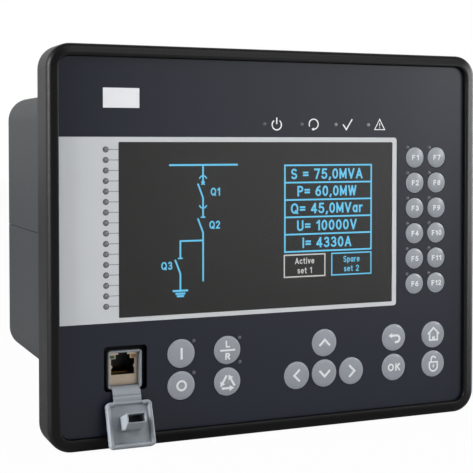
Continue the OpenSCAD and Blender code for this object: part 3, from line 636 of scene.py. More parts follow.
def grid_faces(rows: int, columns: int, wrap_rows: bool, wrap_columns: bool) -> np.ndarray:
    """Numbers the quads of a grid of points.

    Args:
        rows: Points along the first direction.
        columns: Points along the second direction.
        wrap_rows: Whether the last row joins the first.
        wrap_columns: Whether the last column joins the first.

    Returns:
        One row of four point numbers for each quad.
    """
    i, j = np.meshgrid(
        np.arange(rows - (not wrap_rows)), np.arange(columns - (not wrap_columns)), indexing="ij"
    )
    below, beside = (i + 1) % rows, (j + 1) % columns
    quads = [i * columns + j, i * columns + beside, below * columns + beside, below * columns + j]
    return np.stack(quads, axis=-1).reshape(-1, 4)


def skin(rings: np.ndarray, loop: bool = False) -> Shape:
    """Covers a stack of closed rings with quads.

    The rings run anticlockwise seen from the front, and the stack runs from back to front on the outside.

    Args:
        rings: Points as (ring, point, xyz).
        loop: Whether the last ring joins the first, as in a frame; otherwise one face closes each end.

    Returns:
        The closed shape.
    """
    count, around = rings.shape[:2]
    faces = grid_faces(count, around, loop, True).tolist()
    if not loop:
        faces.append(list(range(around))[::-1])
        faces.append(list(range((count - 1) * around, count * around)))
    return Shape(rings.reshape(-1, 3), faces)


def round_rings(width: Any, height: Any, radius: Any, y: Any, steps: int = 8) -> np.ndarray:
    """Gives rounded rectangles in X-Z planes: each corner is a quarter circle about its own middle.

    Args:
        width: Width of each ring.
        height: Height of each ring.
        radius: Corner radius of each ring.
        y: Place of each ring along Y.
        steps: Points on each corner.

    Returns:
        Points as (ring, point, xyz).
    """
    size = [np.atleast_1d(np.asarray(v, float)) for v in np.broadcast_arrays(width, height, radius, y)]
    w, h, r, depth = (v.reshape(-1, 1, 1) for v in size)
    turn = np.linspace(0, np.pi / 2, steps) + np.arange(4)[:, None] * np.pi / 2
    x = np.array([1, -1, -1, 1])[:, None] * (w / 2 - r) + r * np.cos(turn)
    z = np.array([1, 1, -1, -1])[:, None] * (h / 2 - r) + r * np.sin(turn)
    points = np.stack([x, np.broadcast_to(depth, x.shape), z], axis=-1)
    return points.reshape(len(points), -1, 3)


def rounded(size: Sequence[float], radius: float, middle: Sequence[float] = (0.0, 0.0)) -> np.ndarray:
    """Gives a rounded rectangle's outline about a point as (x, z) points."""
    return round_rings(*size, radius, 0.0)[0][:, [0, 2]] + middle


def slab_rings(size: Pair, radius: float, back: float, front: float, edge: float) -> np.ndarray:
    """Gives the rings of a rounded slab from back to front: a quarter circle takes in its front edge.

    Args:
        size: Width and height.
        radius: Radius of its corners.
        back: Place of its rear along Y.
        front: Place of its front along Y.
        edge: Radius of its front edge; below zero for a hole that widens there.

    Returns:
        Points as (ring, point, xyz).
    """
    turn = np.linspace(0, np.pi / 2, 6)
    inset = np.insert(edge * (1 - np.cos(turn)), 0, 0.0)
    y = np.insert(front + abs(edge) * (1 - np.sin(turn)), 0, back)
    return round_rings(size[0] - 2 * inset, size[1] - 2 * inset, radius - inset, y)


def turned_rings(radius: np.ndarray, y: np.ndarray, steps: int = 32) -> np.ndarray:
    """Gives circles about the Y axis, one for each radius and place along Y.

    Args:
        radius: Radius of each circle.
        y: Place of each circle along Y.
        steps: Points on each circle.

    Returns:
        Points as (ring, point, xyz).
    """
    turn = np.arange(steps) * 2 * np.pi / steps
    x = radius[:, None] * np.cos(turn)
    z = radius[:, None] * np.sin(turn)
    return np.stack([x, np.broadcast_to(y[:, None], x.shape), z], axis=-1)


def arc(middle: Pair, radius: float, start: float, stop: float, steps: int = 24) -> np.ndarray:
    """Gives points on an arc from one angle to another, in degrees from +X towards +Z."""
    turn = np.radians(np.linspace(start, stop, steps))
    return np.array(middle) + radius * np.stack([np.cos(turn), np.sin(turn)], axis=-1)


def line(*points: Pair) -> np.ndarray:
    """Gives the points of a line as an array."""
    return np.array(points, float)


def carried(path: np.ndarray, profile: np.ndarray, closed: bool = False) -> Shape:
    """Carries a closed profile along a path in an X-Z plane, with mitred corners.

    Each point of the path moves aside along the mean of the normals before and after it, by the profile's
    distance over the cosine of half the turn.

    Args:
        path: Points as (x, z).
        profile: Points as (aside, y), with aside to the left of the path. They run from left to right at the
            front, and back again behind.
        closed: Whether the path closes on itself.

    Returns:
        The closed shape.
    """
    ahead = np.roll(path, -1, axis=0) - path
    if not closed:
        ahead[-1] = ahead[-2]
    ahead /= np.linalg.norm(ahead, axis=1, keepdims=True)
    side = np.stack([-ahead[:, 1], ahead[:, 0]], axis=1)
    before = np.roll(side, 1, axis=0)
    if not closed:
        before[0] = side[0]
    reach = (side + before) / (1 + np.sum(side * before, axis=1, keepdims=True))
    spots = path[:, None] + reach[:, None] * profile[None, :, :1]
    depth = np.broadcast_to(profile[:, 1], spots.shape[:2])
    return skin(np.stack([spots[..., 0], depth, spots[..., 1]], axis=-1), loop=closed)


def oval(middle: Pair, wide: float, high: float, start: float = 0.0, stop: float = 360.0) -> np.ndarray:
    """Gives points on an oval with two half axes, from one angle to another in degrees."""
    return np.array(middle) + arc((0.0, 0.0), 1.0, start, stop) * [wide, high]


def chain(*pieces: np.ndarray) -> np.ndarray:
    """Puts lines end to end."""
    return np.concatenate(pieces)


@dataclass(frozen=True)
class Glyph:
    """A letter as lines in shares of a capital's height, and the width that the lines take."""

    width: float
    lines: tuple[np.ndarray, ...] = ()


def bars(*ends: tuple[float, float, float, float]) -> tuple[np.ndarray, ...]:
    """Gives straight lines, each from (x, z) to (x, z)."""
    return tuple(line(end[:2], end[2:]) for end in ends)


STEM = line((0, 0), (0, 1))
BOWL = chain(line((0, 1)), oval((0.27, 0.74), 0.24, 0.26, 90, -90), line((0, 0.48)))
RING = oval((0.35, 0.5), 0.35, 0.5)
SMALL_RING = oval((0.21, 0.34), 0.21, 0.34)
GLYPHS: dict[str, Glyph] = {
    " ": Glyph(0.14),
    "=": Glyph(0.46, bars((0, 0.64, 0.46, 0.64), (0, 0.34, 0.46, 0.34))),
    ",": Glyph(0.07, bars((0.07, 0.04, 0, -0.16))),
    "0": Glyph(0.5, (oval((0.25, 0.5), 0.25, 0.5),)),
    "1": Glyph(0.28, bars((0.02, 0.78, 0.27, 0.98), (0.27, 1, 0.27, 0))),
    "2": Glyph(
        0.5,
        (chain(oval((0.25, 0.73), 0.25, 0.27, 165, -35), line((0.03, 0.02))), *bars((0, 0, 0.5, 0))),
    ),
    "3": Glyph(0.5, (oval((0.24, 0.76), 0.22, 0.24, 150, -90), oval((0.24, 0.26), 0.26, 0.26, 90, -150))),
    "4": Glyph(0.54, bars((0.4, 0, 0.4, 1), (0.37, 0.97, 0, 0.3), (0, 0.27, 0.54, 0.27))),
    "5": Glyph(0.5, (line((0.46, 1), (0.08, 1), (0.04, 0.56)), oval((0.23, 0.31), 0.27, 0.31, 125, -150))),
    "6": Glyph(0.5, (oval((0.25, 0.3), 0.25, 0.3), oval((0.5, 0.3), 0.5, 0.7, 180, 100))),
    "7": Glyph(0.5, (line((0, 1), (0.49, 1), (0.18, 0)),)),
    "8": Glyph(0.5, (oval((0.25, 0.76), 0.21, 0.24), oval((0.25, 0.26), 0.25, 0.26))),
    "9": Glyph(0.5, (oval((0.25, 0.7), 0.25, 0.3), oval((0.0, 0.7), 0.5, 0.7, 0, -80))),
    "A": Glyph(0.62, bars((0, 0, 0.31, 1), (0.31, 1, 0.62, 0), (0.13, 0.3, 0.49, 0.3))),
    "F": Glyph(0.44, (line((0, 0), (0, 1), (0.44, 1)), line((0, 0.52), (0.38, 0.52)))),
    "I": Glyph(0.0, (STEM,)),
    "K": Glyph(0.54, (STEM, *bars((0.5, 1, 0.03, 0.44), (0.18, 0.6, 0.52, 0)))),
    "L": Glyph(0.46, (line((0, 1), (0, 0), (0.46, 0)),)),
    "M": Glyph(0.66, (STEM, *bars((0, 0.96, 0.33, 0.16), (0.33, 0.16, 0.66, 0.96), (0.66, 1, 0.66, 0)))),
    "O": Glyph(0.7, (RING,)),
    "P": Glyph(0.5, (STEM, BOWL)),
    "Q": Glyph(0.7, (RING, line((0.46, 0.2), (0.68, -0.04)))),
    "R": Glyph(0.52, (STEM, BOWL, line((0.27, 0.46), (0.5, 0)))),
    "S": Glyph(
        0.52,
        (chain(oval((0.26, 0.75), 0.24, 0.25, 35, 270), oval((0.26, 0.25), 0.26, 0.25, 90, -145)[1:]),),
    ),
    "U": Glyph(0.56, (chain(line((0, 1)), oval((0.28, 0.28), 0.28, 0.28, 180, 360), line((0.56, 1))),)),
    "V": Glyph(0.6, bars((0, 1, 0.3, 0), (0.3, 0, 0.6, 1))),
    "W": Glyph(0.84, bars((0, 1, 0.2, 0), (0.2, 0, 0.42, 0.96), (0.42, 0.96, 0.64, 0), (0.64, 0, 0.84, 1))),
    "a": Glyph(0.42, (SMALL_RING, line((0.42, 0.68), (0.42, 0)))),
    "c": Glyph(0.42, (oval((0.24, 0.34), 0.24, 0.34, 45, 315),)),
    "e": Glyph(0.46, (chain(line((0.02, 0.36), (0.45, 0.36)), oval((0.23, 0.34), 0.23, 0.34, 12, 315)),)),
    "i": Glyph(0.0, bars((0, 0, 0, 0.68), (0, 0.94, 0, 1))),
    "p": Glyph(0.42, (line((0, 0.68), (0, -0.28)), SMALL_RING)),
    "r": Glyph(0.26, (line((0, 0), (0, 0.68)), oval((0.24, 0.36), 0.24, 0.32, 175, 85))),
    "s": Glyph(
        0.36,
        (chain(oval((0.18, 0.51), 0.17, 0.17, 35, 270), oval((0.18, 0.17), 0.18, 0.17, 90, -145)[1:]),),
    ),
    "t": Glyph(
        0.3,
        (chain(line((0.12, 0.94)), oval((0.27, 0.15), 0.15, 0.15, 180, 275)), *bars((0, 0.68, 0.28, 0.68))),
    ),
    "v": Glyph(0.44, bars((0, 0.68, 0.22, 0), (0.22, 0, 0.44, 0.68))),
}


@dataclass(frozen=True)
class Mark:
    """One line of a sign about the sign's middle, or a fill where it has no width."""

    path: np.ndarray
    width: float = 0.0
    layers: int = 0
    closed: bool = False


@dataclass(frozen=True)
class Word:
    """Lettering on a key: its size, its place above the key's middle and the weight of its lines."""

    text: str
    height: float
    width: float
    up: float = 0.0
    weight: float = 0.2


@dataclass(frozen=True)
class Pen:
    """Draws flat lines, fills and lettering as thin slabs between two places along Y."""

    front: float
    back: float
    gap: float = 0.13
    row_pitch: float = 1.55
    layer: float = 0.008

    def over(self, layers: int) -> "Pen":
        """Gives a pen that draws a little further out, so that lines which cross don't share a plane."""
        return replace(self, front=self.front - layers * self.layer)

    def stroke(self, path: np.ndarray, width: float, closed: bool = False) -> Shape:
        """Draws a flat line of one width along a path of (x, z) points.

        Args:
            path: The points.
            width: Width of the line.
            closed: Whether the path closes on itself.

        Returns:
            The line as a thin slab.
        """
        half = width / 2
        profile = line((half, self.front), (-half, self.front), (-half, self.back), (half, self.back))
        return carried(path, profile, closed)

    def fill(self, outline: np.ndarray) -> Shape:
        """Fills an anticlockwise outline of (x, z) points."""
        rings = [np.insert(outline, 1, y, axis=1) for y in (self.back, self.front)]
        return skin(np.stack(rings))

    def hollow(self, outer: np.ndarray, inner: np.ndarray) -> Shape:
        """Fills the space between two anticlockwise outlines that have as many points each."""
        order = [(outer, self.back), (outer, self.front), (inner, self.front), (inner, self.back)]
        return skin(np.stack([np.insert(ring, 1, y, axis=1) for ring, y in order]), loop=True)

    def marks(self, marks: Iterable[Mark], middle: Sequence[float]) -> list[Shape]:
        """Draws the marks of a sign about a point.

        Args:
            marks: Its lines and fills.
            middle: The point as (x, z).

        Returns:
            One thin slab for each mark.
        """
        shapes: list[Shape] = []
        for mark in marks:
            pen, path = self.over(mark.layers), mark.path + middle
            shapes.append(pen.stroke(path, mark.width, mark.closed) if mark.width else pen.fill(path))
        return shapes

    def letter(self, path: np.ndarray, width: float) -> Shape:
        """Draws one line of a letter; open ends reach out by half the line's width.

        Args:
            path: Points as (x, z).
            width: Width of the line.

        Returns:
            The line as a thin slab.
        """
        if np.allclose(path[0], path[-1]):
            return self.stroke(path[:-1], width, closed=True)
        ends = np.stack([path[0] - path[1], path[-1] - path[-2]])
        ends *= width / 2 / np.linalg.norm(ends, axis=1, keepdims=True)
        return self.stroke(chain(path[:1] + ends[0], path[1:-1], path[-1:] + ends[1]), width)

    def words(self, text: str, height: float, middle: Pair, weight: float, width: float = 0.0) -> Shape:
        """Draws rows of lettering about a point.

        Args:
            text: The letters; a new line starts another row.
            height: Height of a capital.
            middle: The middle of the lettering as (x, z).
            weight: Width of its lines as a share of the height.
            width: Width that a row is stretched to; zero leaves the letters as they are.

        Returns:
            The lettering as thin slabs.
        """
        parts: list[Shape] = []
        rows = text.split("\n")
        for number, row in enumerate(rows):
            glyphs = [GLYPHS[letter] for letter in row]
            steps = np.array([glyph.width * (1 - weight) + weight + self.gap for glyph in glyphs])
            total = steps.sum() - self.gap
            starts = np.cumsum(steps) - steps - total / 2
            stretch = width / (total * height) if width else 1.0
            base = ((len(rows) - 1) / 2 - number) * self.row_pitch - 0.5
            for glyph, start in zip(glyphs, starts):
                for layers, path in enumerate(glyph.lines):
                    spots = (path * (1 - weight) + weight / 2 + [start, base]) * [stretch * height, height]
                    parts.append(self.over(layers).letter(spots + middle, weight * height))
        return Shape.joined(parts)


STATUS_SIGNS: dict[str, tuple[Mark, ...]] = {
    "power": (Mark(arc((0, -0.35), 2.64, 126, 414, 40), 0.612), Mark(line((0, 0), (0, 3.4)), 0.648)),
    "running": (
        Mark(arc((0, 0.1), 2.64, 208, -88, 40), 0.612),
        Mark(line((-1.3, -2.54), (0.1, -3.39), (0.1, -1.69)), layers=1),
    ),
    "ready": (Mark(line((-2.75, 0.1), (-0.75, -2.6), (2.75, 2.9)), 0.684),),
    "attention": (
        Mark(line((0, 3), (-3.06, -2.55), (3.06, -2.55)), 0.4464, closed=True),
        Mark(line((0, 1), (0, -0.8)), 0.432),
        Mark(rounded((0.5, 0.5), 0.15, (0, -1.55))),
    ),
}


@dataclass
class FrontPrint:
    """What is printed or set on the overlay: band, lines, lamp lenses, signs and a plain plate."""

    film: float = 0.04
    upper_film: float = 0.064
    sunk: float = 0.02
    band_top: float = 2.48
    band_right: float = 2.57
    band_bottom: float = 2.23
    band_corner: float = 1.6
    window_corner: float = 0.55
    alarm_left: float = 6.5
    alarm_top: float = 3.66
    alarm_pitch: float = 5.12
    alarm_count: int = 16
    alarm_radius: float = 1.5
    rim_width: float = 0.42
    lead_width: float = 0.42
    lamp_radius: float = 0.95
    lens_rise: float = 0.25
    lens_shares: tuple[float, ...] = (1.0, 1.0, 0.94, 0.8, 0.6, 0.4, 0.2, 0.04)
    lens_around: int = 24
    rim_around: int = 32
    status_up: float = 9.3
    status_lamps: tuple[float, ...] = (-75.8, -54.5, -34.4, -14.9)
    dim_lamps: int = 2
    sign_offset: float = 6.95
    plate_size: Pair = (18.5, 9.75)
    plate_corner: float = 0.25
    plate_middle: Pair = (-83.1, 72.9)

    def __post_init__(self) -> None:
        """Reads the overlay's and the window's places from the frame."""
        self.overlay = NodeBox.of("front_overlay")
        self.window = NodeBox.of("display_window")
        self.face = float(self.overlay.low[1])
        self.pen = Pen(self.face - self.film, self.face + self.sunk)
        self.over = Pen(self.face - self.upper_film, self.face + self.sunk)

    def band(self) -> Shape:
        """Gives the silver band: it starts at the overlay's left edge and frames the window.

        Returns:
            The band as a thin slab.
        """
        left, right = self.overlay.low[0], self.window.high[0] + self.band_right
        low, high = self.window.low[2] - self.band_bottom, self.window.high[2] + self.band_top
        outer = rounded((right - left, high - low), self.band_corner, ((left + right) / 2, (low + high) / 2))
        outer[:, 0] = np.where(outer[:, 0] < left + 2 * self.band_corner, left, outer[:, 0])
        size = (self.window.high - self.window.low)[[0, 2]]
        return self.pen.hollow(outer, rounded(size, self.window_corner, self.window.middle[[0, 2]]))

    def alarm_places(self) -> np.ndarray:
        """Gives the alarm lamps' middles as (x, z)."""
        z = self.window.high[2] - self.alarm_top - np.arange(self.alarm_count) * self.alarm_pitch
        return np.stack([np.full_like(z, self.window.low[0] - self.alarm_left), z], axis=1)

    def leads(self) -> Shape:
        """Gives the thin lines from the alarm lamps to the window."""
        return Shape.joined(
            self.over.stroke(line((x + self.alarm_radius, z), (x + self.alarm_left, z)), self.lead_width)
            for x, z in self.alarm_places()
        )

    def lens(self, radius: float, places: np.ndarray) -> Shape:
        """Gives a shallow lens on each lamp: its height falls with the square of the radius.

        Args:
            radius: Radius of each lens.
            places: Middles of the lamps as (x, z).

        Returns:
            All the lenses as one shape.
        """
        share = np.array(self.lens_shares)
        rise = self.lens_rise * (1 - share**2) + self.film
        rise[0] = -self.sunk
        one = skin(turned_rings(radius * share, self.face - rise, self.lens_around))
        return Shape.joined(one.moved(x, 0.0, z) for x, z in places)

    def rims(self) -> Shape:
        """Gives the dark ring round each alarm lamp.

        Returns:
            All the rings as one shape.
        """
        outer = arc((0.0, 0.0), self.alarm_radius, 0, 360, self.rim_around + 1)[:-1]
        one = self.over.hollow(outer, outer * (1 - self.rim_width / self.alarm_radius))
        return Shape.joined(one.moved(x, 0.0, z) for x, z in self.alarm_places())

    def status_places(self) -> np.ndarray:
        """Gives the status lamps' middles as (x, z)."""
        x = self.window.high[0] + np.array(self.status_lamps)
        return np.stack([x, np.full_like(x, self.window.high[2] + self.status_up)], axis=1)

    def signs(self) -> Shape:
        """Gives the signs beside the status lamps."""
        pairs = zip(STATUS_SIGNS.values(), self.status_places() + [self.sign_offset, 0.0])
        return Shape.joined(shape for marks, place in pairs for shape in self.pen.marks(marks, place))

    def plate(self) -> Shape:
        """Gives the plain plate at the upper left."""
        return self.pen.fill(rounded(self.plate_size, self.plate_corner, self.plate_middle))

    def build(self, key_lamps: np.ndarray) -> None:
        """Places every printed piece.

        Args:
            key_lamps: Middles of the keys' lamps as (x, z).
        """
        relay = Body.RELAY.value
        status = self.status_places()
        dim = np.concatenate([status[: self.dim_lamps], key_lamps])
        self.band().place("silver_band", SILVER, relay, "overlay")
        self.leads().place("alarm_leads", PRINT_GREY, relay, "overlay")
        self.rims().place("alarm_rims", LENS_RIM, relay, "overlay")
        clear = self.alarm_radius - self.rim_width
        self.lens(clear, self.alarm_places()).place("alarm_lenses", LENS, relay, "lamp")
        self.lens(self.lamp_radius, dim).place("small_lenses", DIM_LENS, relay, "lamp")
        self.lens(self.lamp_radius, status[self.dim_lamps :]).place("clear_lenses", CLEAR_LENS, relay, "lamp")
        self.signs().place("status_signs", PRINT_WHITE, relay, "overlay")
        self.plate().place("plain_plate", PLATE, relay, "overlay")


@dataclass
class Screen:
    """The lit picture on the screen: a feeder diagram, a table of readings and two set boxes."""

    bus: Pair = (-58.2, -21.1)
    bus_z: float = 39.8
    feeder_x: float = -40.1
    plug_arc: float = 2.0
    plug_z: Pair = (32.3, 20.0)
    breaker_z: float = 30.6
    breaker_cross: Pair = (0.9, 0.8)
    breaker_blade: float = 30.4
    breaker_low: float = 22.8
    disconnector_z: float = 13.4
    feeder_z: Pair = (5.1, -19.1)
    branch_z: float = 1.65
    earth_x: float = -52.3
    earth_switch_z: float = -7.0
    earth_z: Pair = (-15.2, -23.2)
    earth_bars: tuple[Pair, ...] = ((4.1, -23.3), (2.6, -24.75), (1.9, -26.0))
    earth_width: float = 1.0
    labels: tuple[tuple[str, Pair], ...] = (
        ("Q1", (-33.4, 26.2)),
        ("Q2", (-33.8, 9.4)),
        ("Q3", (-59.5, -10.5)),
    )
    bus_width: float = 0.95
    line_width: float = 0.86
    thin_line: float = 0.66
    blade: Pair = (-2.8, 7.7)
    blade_end: float = 0.2
    contact_half: float = 1.3
    contact_gap: float = 0.6
    table_x: Pair = (5.5, 56.7)
    table_z: Pair = (39.25, -6.0)
    readings: tuple[tuple[str, float], ...] = (
        ("S = 75,0MVA", 42.4),
        ("P= 60,0MW", 35.0),
        ("Q= 45,0MVar", 42.6),
        ("U= 10000V", 35.4),
        ("I= 4330A", 29.0),
    )
    reading_height: float = 5.5
    reading_weight: float = 0.17
    reading_shift: float = 0.9
    label_height: float = 4.0
    label_weight: float = 0.17
    box_z: Pair = (-7.7, -19.2)
    box_width: float = 23.7
    box_shift: float = 0.3
    set_height: float = 3.25
    set_weight: float = 0.15
    lift: float = 0.02

    def __post_init__(self) -> None:
        """Puts the picture between the window and the screen."""
        face = float(NodeBox.of("display_module").low[1])
        self.pen = Pen(face - self.lift, face + self.lift)

    def frame_of(self, x: Pair, z: Pair, width: float) -> Shape:
        """Gives a rectangle's outline as a line."""
        corners = line((x[0], z[1]), (x[1], z[1]), (x[1], z[0]), (x[0], z[0]))
        return self.pen.stroke(corners, width, closed=True)

    def blade_of(self, x: float, top: float) -> Shape:
        """Gives the slanted blade of an open switch."""
        run, drop = self.blade
        return self.pen.stroke(line((x + run, top), (x + self.blade_end, top - drop)), self.line_width)

    def switch(self, x: float, top: float) -> list[Shape]:
        """Gives an open switch: a fixed contact's bar and a slanted blade below it."""
        bar = line((x - self.contact_half, top), (x + self.contact_half, top))
        return [self.pen.stroke(bar, self.thin_line), self.blade_of(x, top - self.contact_gap)]

    def diagram(self) -> Shape:
        """Gives the feeder: bus bar, plug contacts, a breaker, a disconnector and an earthing switch.

        Returns:
            Its lines and labels as one shape.
        """
        pen, x, earth = self.pen, self.feeder_x, self.earth_x
        wide, high = self.breaker_cross
        branch = line((x, self.branch_z), (earth, self.branch_z), (earth, self.earth_switch_z))
        runs = [
            line((x, self.bus_z), (x, self.breaker_z)),
            line((x, self.breaker_low), (x, self.disconnector_z)),
            line((x, self.feeder_z[0]), (x, self.feeder_z[1])),
            branch,
            line((earth, self.earth_z[0]), (earth, self.earth_z[1])),
        ]
        marks = [
            arc((x, self.plug_z[0]), self.plug_arc, 15, 165),
            arc((x, self.plug_z[1]), self.plug_arc, 195, 345),
            line((x - wide, self.breaker_z + high), (x + wide, self.breaker_z - high)),
            line((x - wide, self.breaker_z - high), (x + wide, self.breaker_z + high)),
        ]
        feet = [line((earth - half, z), (earth + half, z)) for half, z in self.earth_bars]
        return Shape.joined(
            [
                pen.stroke(line((self.bus[0], self.bus_z), (self.bus[1], self.bus_z)), self.bus_width),
                self.blade_of(x, self.breaker_blade),
                *(pen.stroke(path, self.line_width) for path in runs),
                *(pen.stroke(path, self.thin_line) for path in marks),
                *(pen.stroke(path, self.earth_width) for path in feet),
                *self.switch(x, self.disconnector_z),
                *self.switch(earth, self.earth_switch_z),
                *(pen.words(text, self.label_height, at, self.label_weight) for text, at in self.labels),
            ]
        )

    def table(self) -> Shape:
        """Gives the table of readings, one row for each.

        Returns:
            Its lines and readings as one shape.
        """
        top, low = self.table_z
        pitch = (low - top) / len(self.readings)
        middle = sum(self.table_x) / 2
        parts = [self.frame_of(self.table_x, (top, low), self.line_width)]
        for row, (text, width) in enumerate(self.readings):
            z = top + row * pitch
            if row:
                rule = line((self.table_x[0], z), (self.table_x[1], z))
                parts.append(self.pen.stroke(rule, self.line_width))
            place = (middle - self.reading_shift, z + pitch / 2)
            parts.append(self.pen.words(text, self.reading_height, place, self.reading_weight, width))
        return Shape.joined(parts)

    def set_box(self, x: float, words: str) -> Shape:
        """Gives one of the two boxes below the table, with two rows of words.

        Args:
            x: Place of its left side.
            words: Both rows, with a new line between them.

        Returns:
            Its outline and words as one shape.
        """
        ends = (x, x + self.box_width)
        middle = (x + self.box_width / 2, sum(self.box_z) / 2)
        return Shape.joined(
            [
                self.frame_of(ends, self.box_z, self.thin_line),
                self.pen.words(words, self.set_height, middle, self.set_weight),
            ]
        )

    def build(self) -> None:
        """Places the picture as two pieces, one for each colour."""
        relay = Body.RELAY.value
        second = self.set_box(self.table_x[1] - self.box_width, "Spare\nset 2")
        blue = Shape.joined([self.diagram(), self.table(), second])
        blue.place("screen_picture", PIXEL_BLUE, relay, "display")
        first = self.set_box(self.table_x[0] - self.box_shift, "Active\nset 1")
        first.place("screen_choice", PIXEL_PALE, relay, "display")


class Sign(Enum):
    """Signs on the control keys, by the key's name."""

    CLOSE = "close"
    OPEN = "open"
    PLACE = "control_place"
    CYCLE = "cycle"
    UP = "up"
    DOWN = "down"
    LEFT = "left"
    RIGHT = "right"
    BACK = "back"
    OK = "ok"
    HOME = "home"
    LOCK = "lock"


# Widths of the lines of the key signs, and the paths of their arrows.
SIGN_LINE = 0.95
SIGN_BOLD = 1.15
CHEVRON = line((-3.1, -1.5), (0, 1.7), (3.1, -1.5))
CYCLE_CORNERS = arc((0, -0.75), 5.1, 90, 450, 4)
CYCLE_SPANS = list(zip(CYCLE_CORNERS, np.diff(CYCLE_CORNERS, axis=0)))
CYCLE_TAIL = 0.14
CYCLE_TIP = 0.9


def chevron(degrees: float) -> tuple[Mark, ...]:
    """Gives an arrow head that points up, turned anticlockwise."""
    c, s = math.cos(math.radians(degrees)), math.sin(math.radians(degrees))
    return (Mark(CHEVRON @ np.array([[c, s], [-s, c]]), SIGN_BOLD),)


def arrow(tail: np.ndarray, tip: np.ndarray, head: float = 2.5, half: float = 1.55) -> tuple[Mark, Mark]:
    """Gives a straight arrow with a filled head.

    Args:
        tail: Where it starts, as (x, z).
        tip: Where it ends, as (x, z).
        head: Length of its head.
        half: Half of the head's width.

    Returns:
        Its shaft and its head.
    """
    along = (tip - tail) / np.linalg.norm(tip - tail)
    neck, side = tip - along * head, np.array([-along[1], along[0]]) * half
    return Mark(line(tail, neck), SIGN_BOLD), Mark(np.array([tip, neck + side, neck - side]), layers=1)


KEY_SIGNS: dict[Sign, tuple[Mark, ...]] = {
    Sign.CLOSE: (Mark(line((0, -2.9), (0, 2.9)), SIGN_BOLD),),
    Sign.OPEN: (Mark(arc((0, 0), 2.3, 0, 360, 41)[:-1], 1.05, closed=True),),
    Sign.PLACE: (Mark(line((-4.1, 0), (4.1, 0)), SIGN_LINE),),
    Sign.CYCLE: tuple(
        mark for a, span in CYCLE_SPANS for mark in arrow(a + span * CYCLE_TAIL, a + span * CYCLE_TIP)
    ),
    Sign.UP: chevron(0),
    Sign.LEFT: chevron(90),
    Sign.DOWN: chevron(180),
    Sign.RIGHT: chevron(270),
    Sign.BACK: (
        Mark(chain(line((-1.5, 1.1)), arc((1.55, -0.7), 1.8, 90, -90), line((0.5, -2.5))), 1.25),
        Mark(line((-3.5, 1.1), (-1.3, -0.35), (-1.3, 2.55)), layers=1),
    ),
    Sign.HOME: (
        Mark(line((-2.45, 1.2), (-2.45, -2.95), (2.45, -2.95), (2.45, 1.2)), SIGN_LINE),
        Mark(line((3.55, 0.4), (0, 3.75), (-3.55, 0.4)), SIGN_LINE, layers=1),
        Mark(line((-0.85, -3), (0.85, -3), (0.85, -1), (-0.85, -1)), layers=2),
    ),
    Sign.LOCK: (
        Mark(chain(line((2.55, 0.95), (-2.55, 0.95)), arc((0, -1.45), 2.55, 180, 360)), 0.85, closed=True),
        Mark(chain(line((-1.45, 0.95)), arc((0, 2.6), 1.45, 180, 15)), 0.85, layers=1),
        Mark(line((0, -0.4), (0, -2)), 0.75),
    ),
}
KEY_WORDS: dict[Sign, tuple[Word, ...]] = {
    Sign.OK: (Word("OK", 4.1, 7.9),),
    Sign.PLACE: (Word("L", 3.5, 2.5, 3.1, 0.24), Word("R", 3.5, 3.0, -3.1, 0.24)),
}


@dataclass
class Keypad:
    """Finish of the keys, their lettering and signs, and the places of their lamps."""

    lift: float = 0.03
    sunk: float = 0.2
    number_height: float = 2.9
    number_widths: tuple[float, ...] = (4.6, 6.2)
    function_keys: int = 12
    function_lamp: Pair = (-4.75, 5.45)
    breaker_lamp: Pair = (6.8, 5.95)
    place_lamp: Pair = (6.95, -6.55)

    def middle(self, name: str) -> np.ndarray:
        """Gives a key's middle as (x, z)."""
        return NodeBox.of(f"{name}_key").middle[[0, 2]]

    def lamps(self) -> np.ndarray:
        """Gives the middles of the keys' lamps as (x, z).

        Returns:
            One row for each lamp.
        """
        numbers = [self.middle(f"f{i + 1}") + self.function_lamp for i in range(self.function_keys)]
        signs = (Sign.CLOSE, Sign.OPEN, Sign.PLACE)
        breaker = [self.middle(sign.value) + self.breaker_lamp for sign in signs]
        return np.array([*numbers, *breaker, self.middle(Sign.PLACE.value) + self.place_lamp])

    def dress_key(self, name: str, words: Iterable[Word], marks: Iterable[Mark]) -> None:
        """Gives a key its finish, and its lettering and marks as one piece.

        Args:
            name: The key's name.
            words: Its lettering.
            marks: Its sign's lines and fills.
        """
        dress(f"{name}_key", KEY)
        x, z = self.middle(name)
        top = float(NodeBox.of(f"{name}_key").low[1])
        pen = Pen(top - self.lift, top + self.sunk)
        letters = [pen.words(w.text, w.height, (x, z + w.up), w.weight, w.width) for w in words]
        shown = Shape.joined([*letters, *pen.marks(marks, (x, z))])
        shown.place(f"{name}_sign", KEY_PRINT, f"{name}_button", "key")

    def build(self) -> None:
        """Dresses every key."""
        for number in range(1, self.function_keys + 1):
            text = f"F{number}"
            width = self.number_widths[len(text) - 2]
            self.dress_key(text.lower(), (Word(text, self.number_height, width),), ())
        for sign in Sign:
            self.dress_key(sign.value, KEY_WORDS.get(sign, ()), KEY_SIGNS.get(sign, ()))


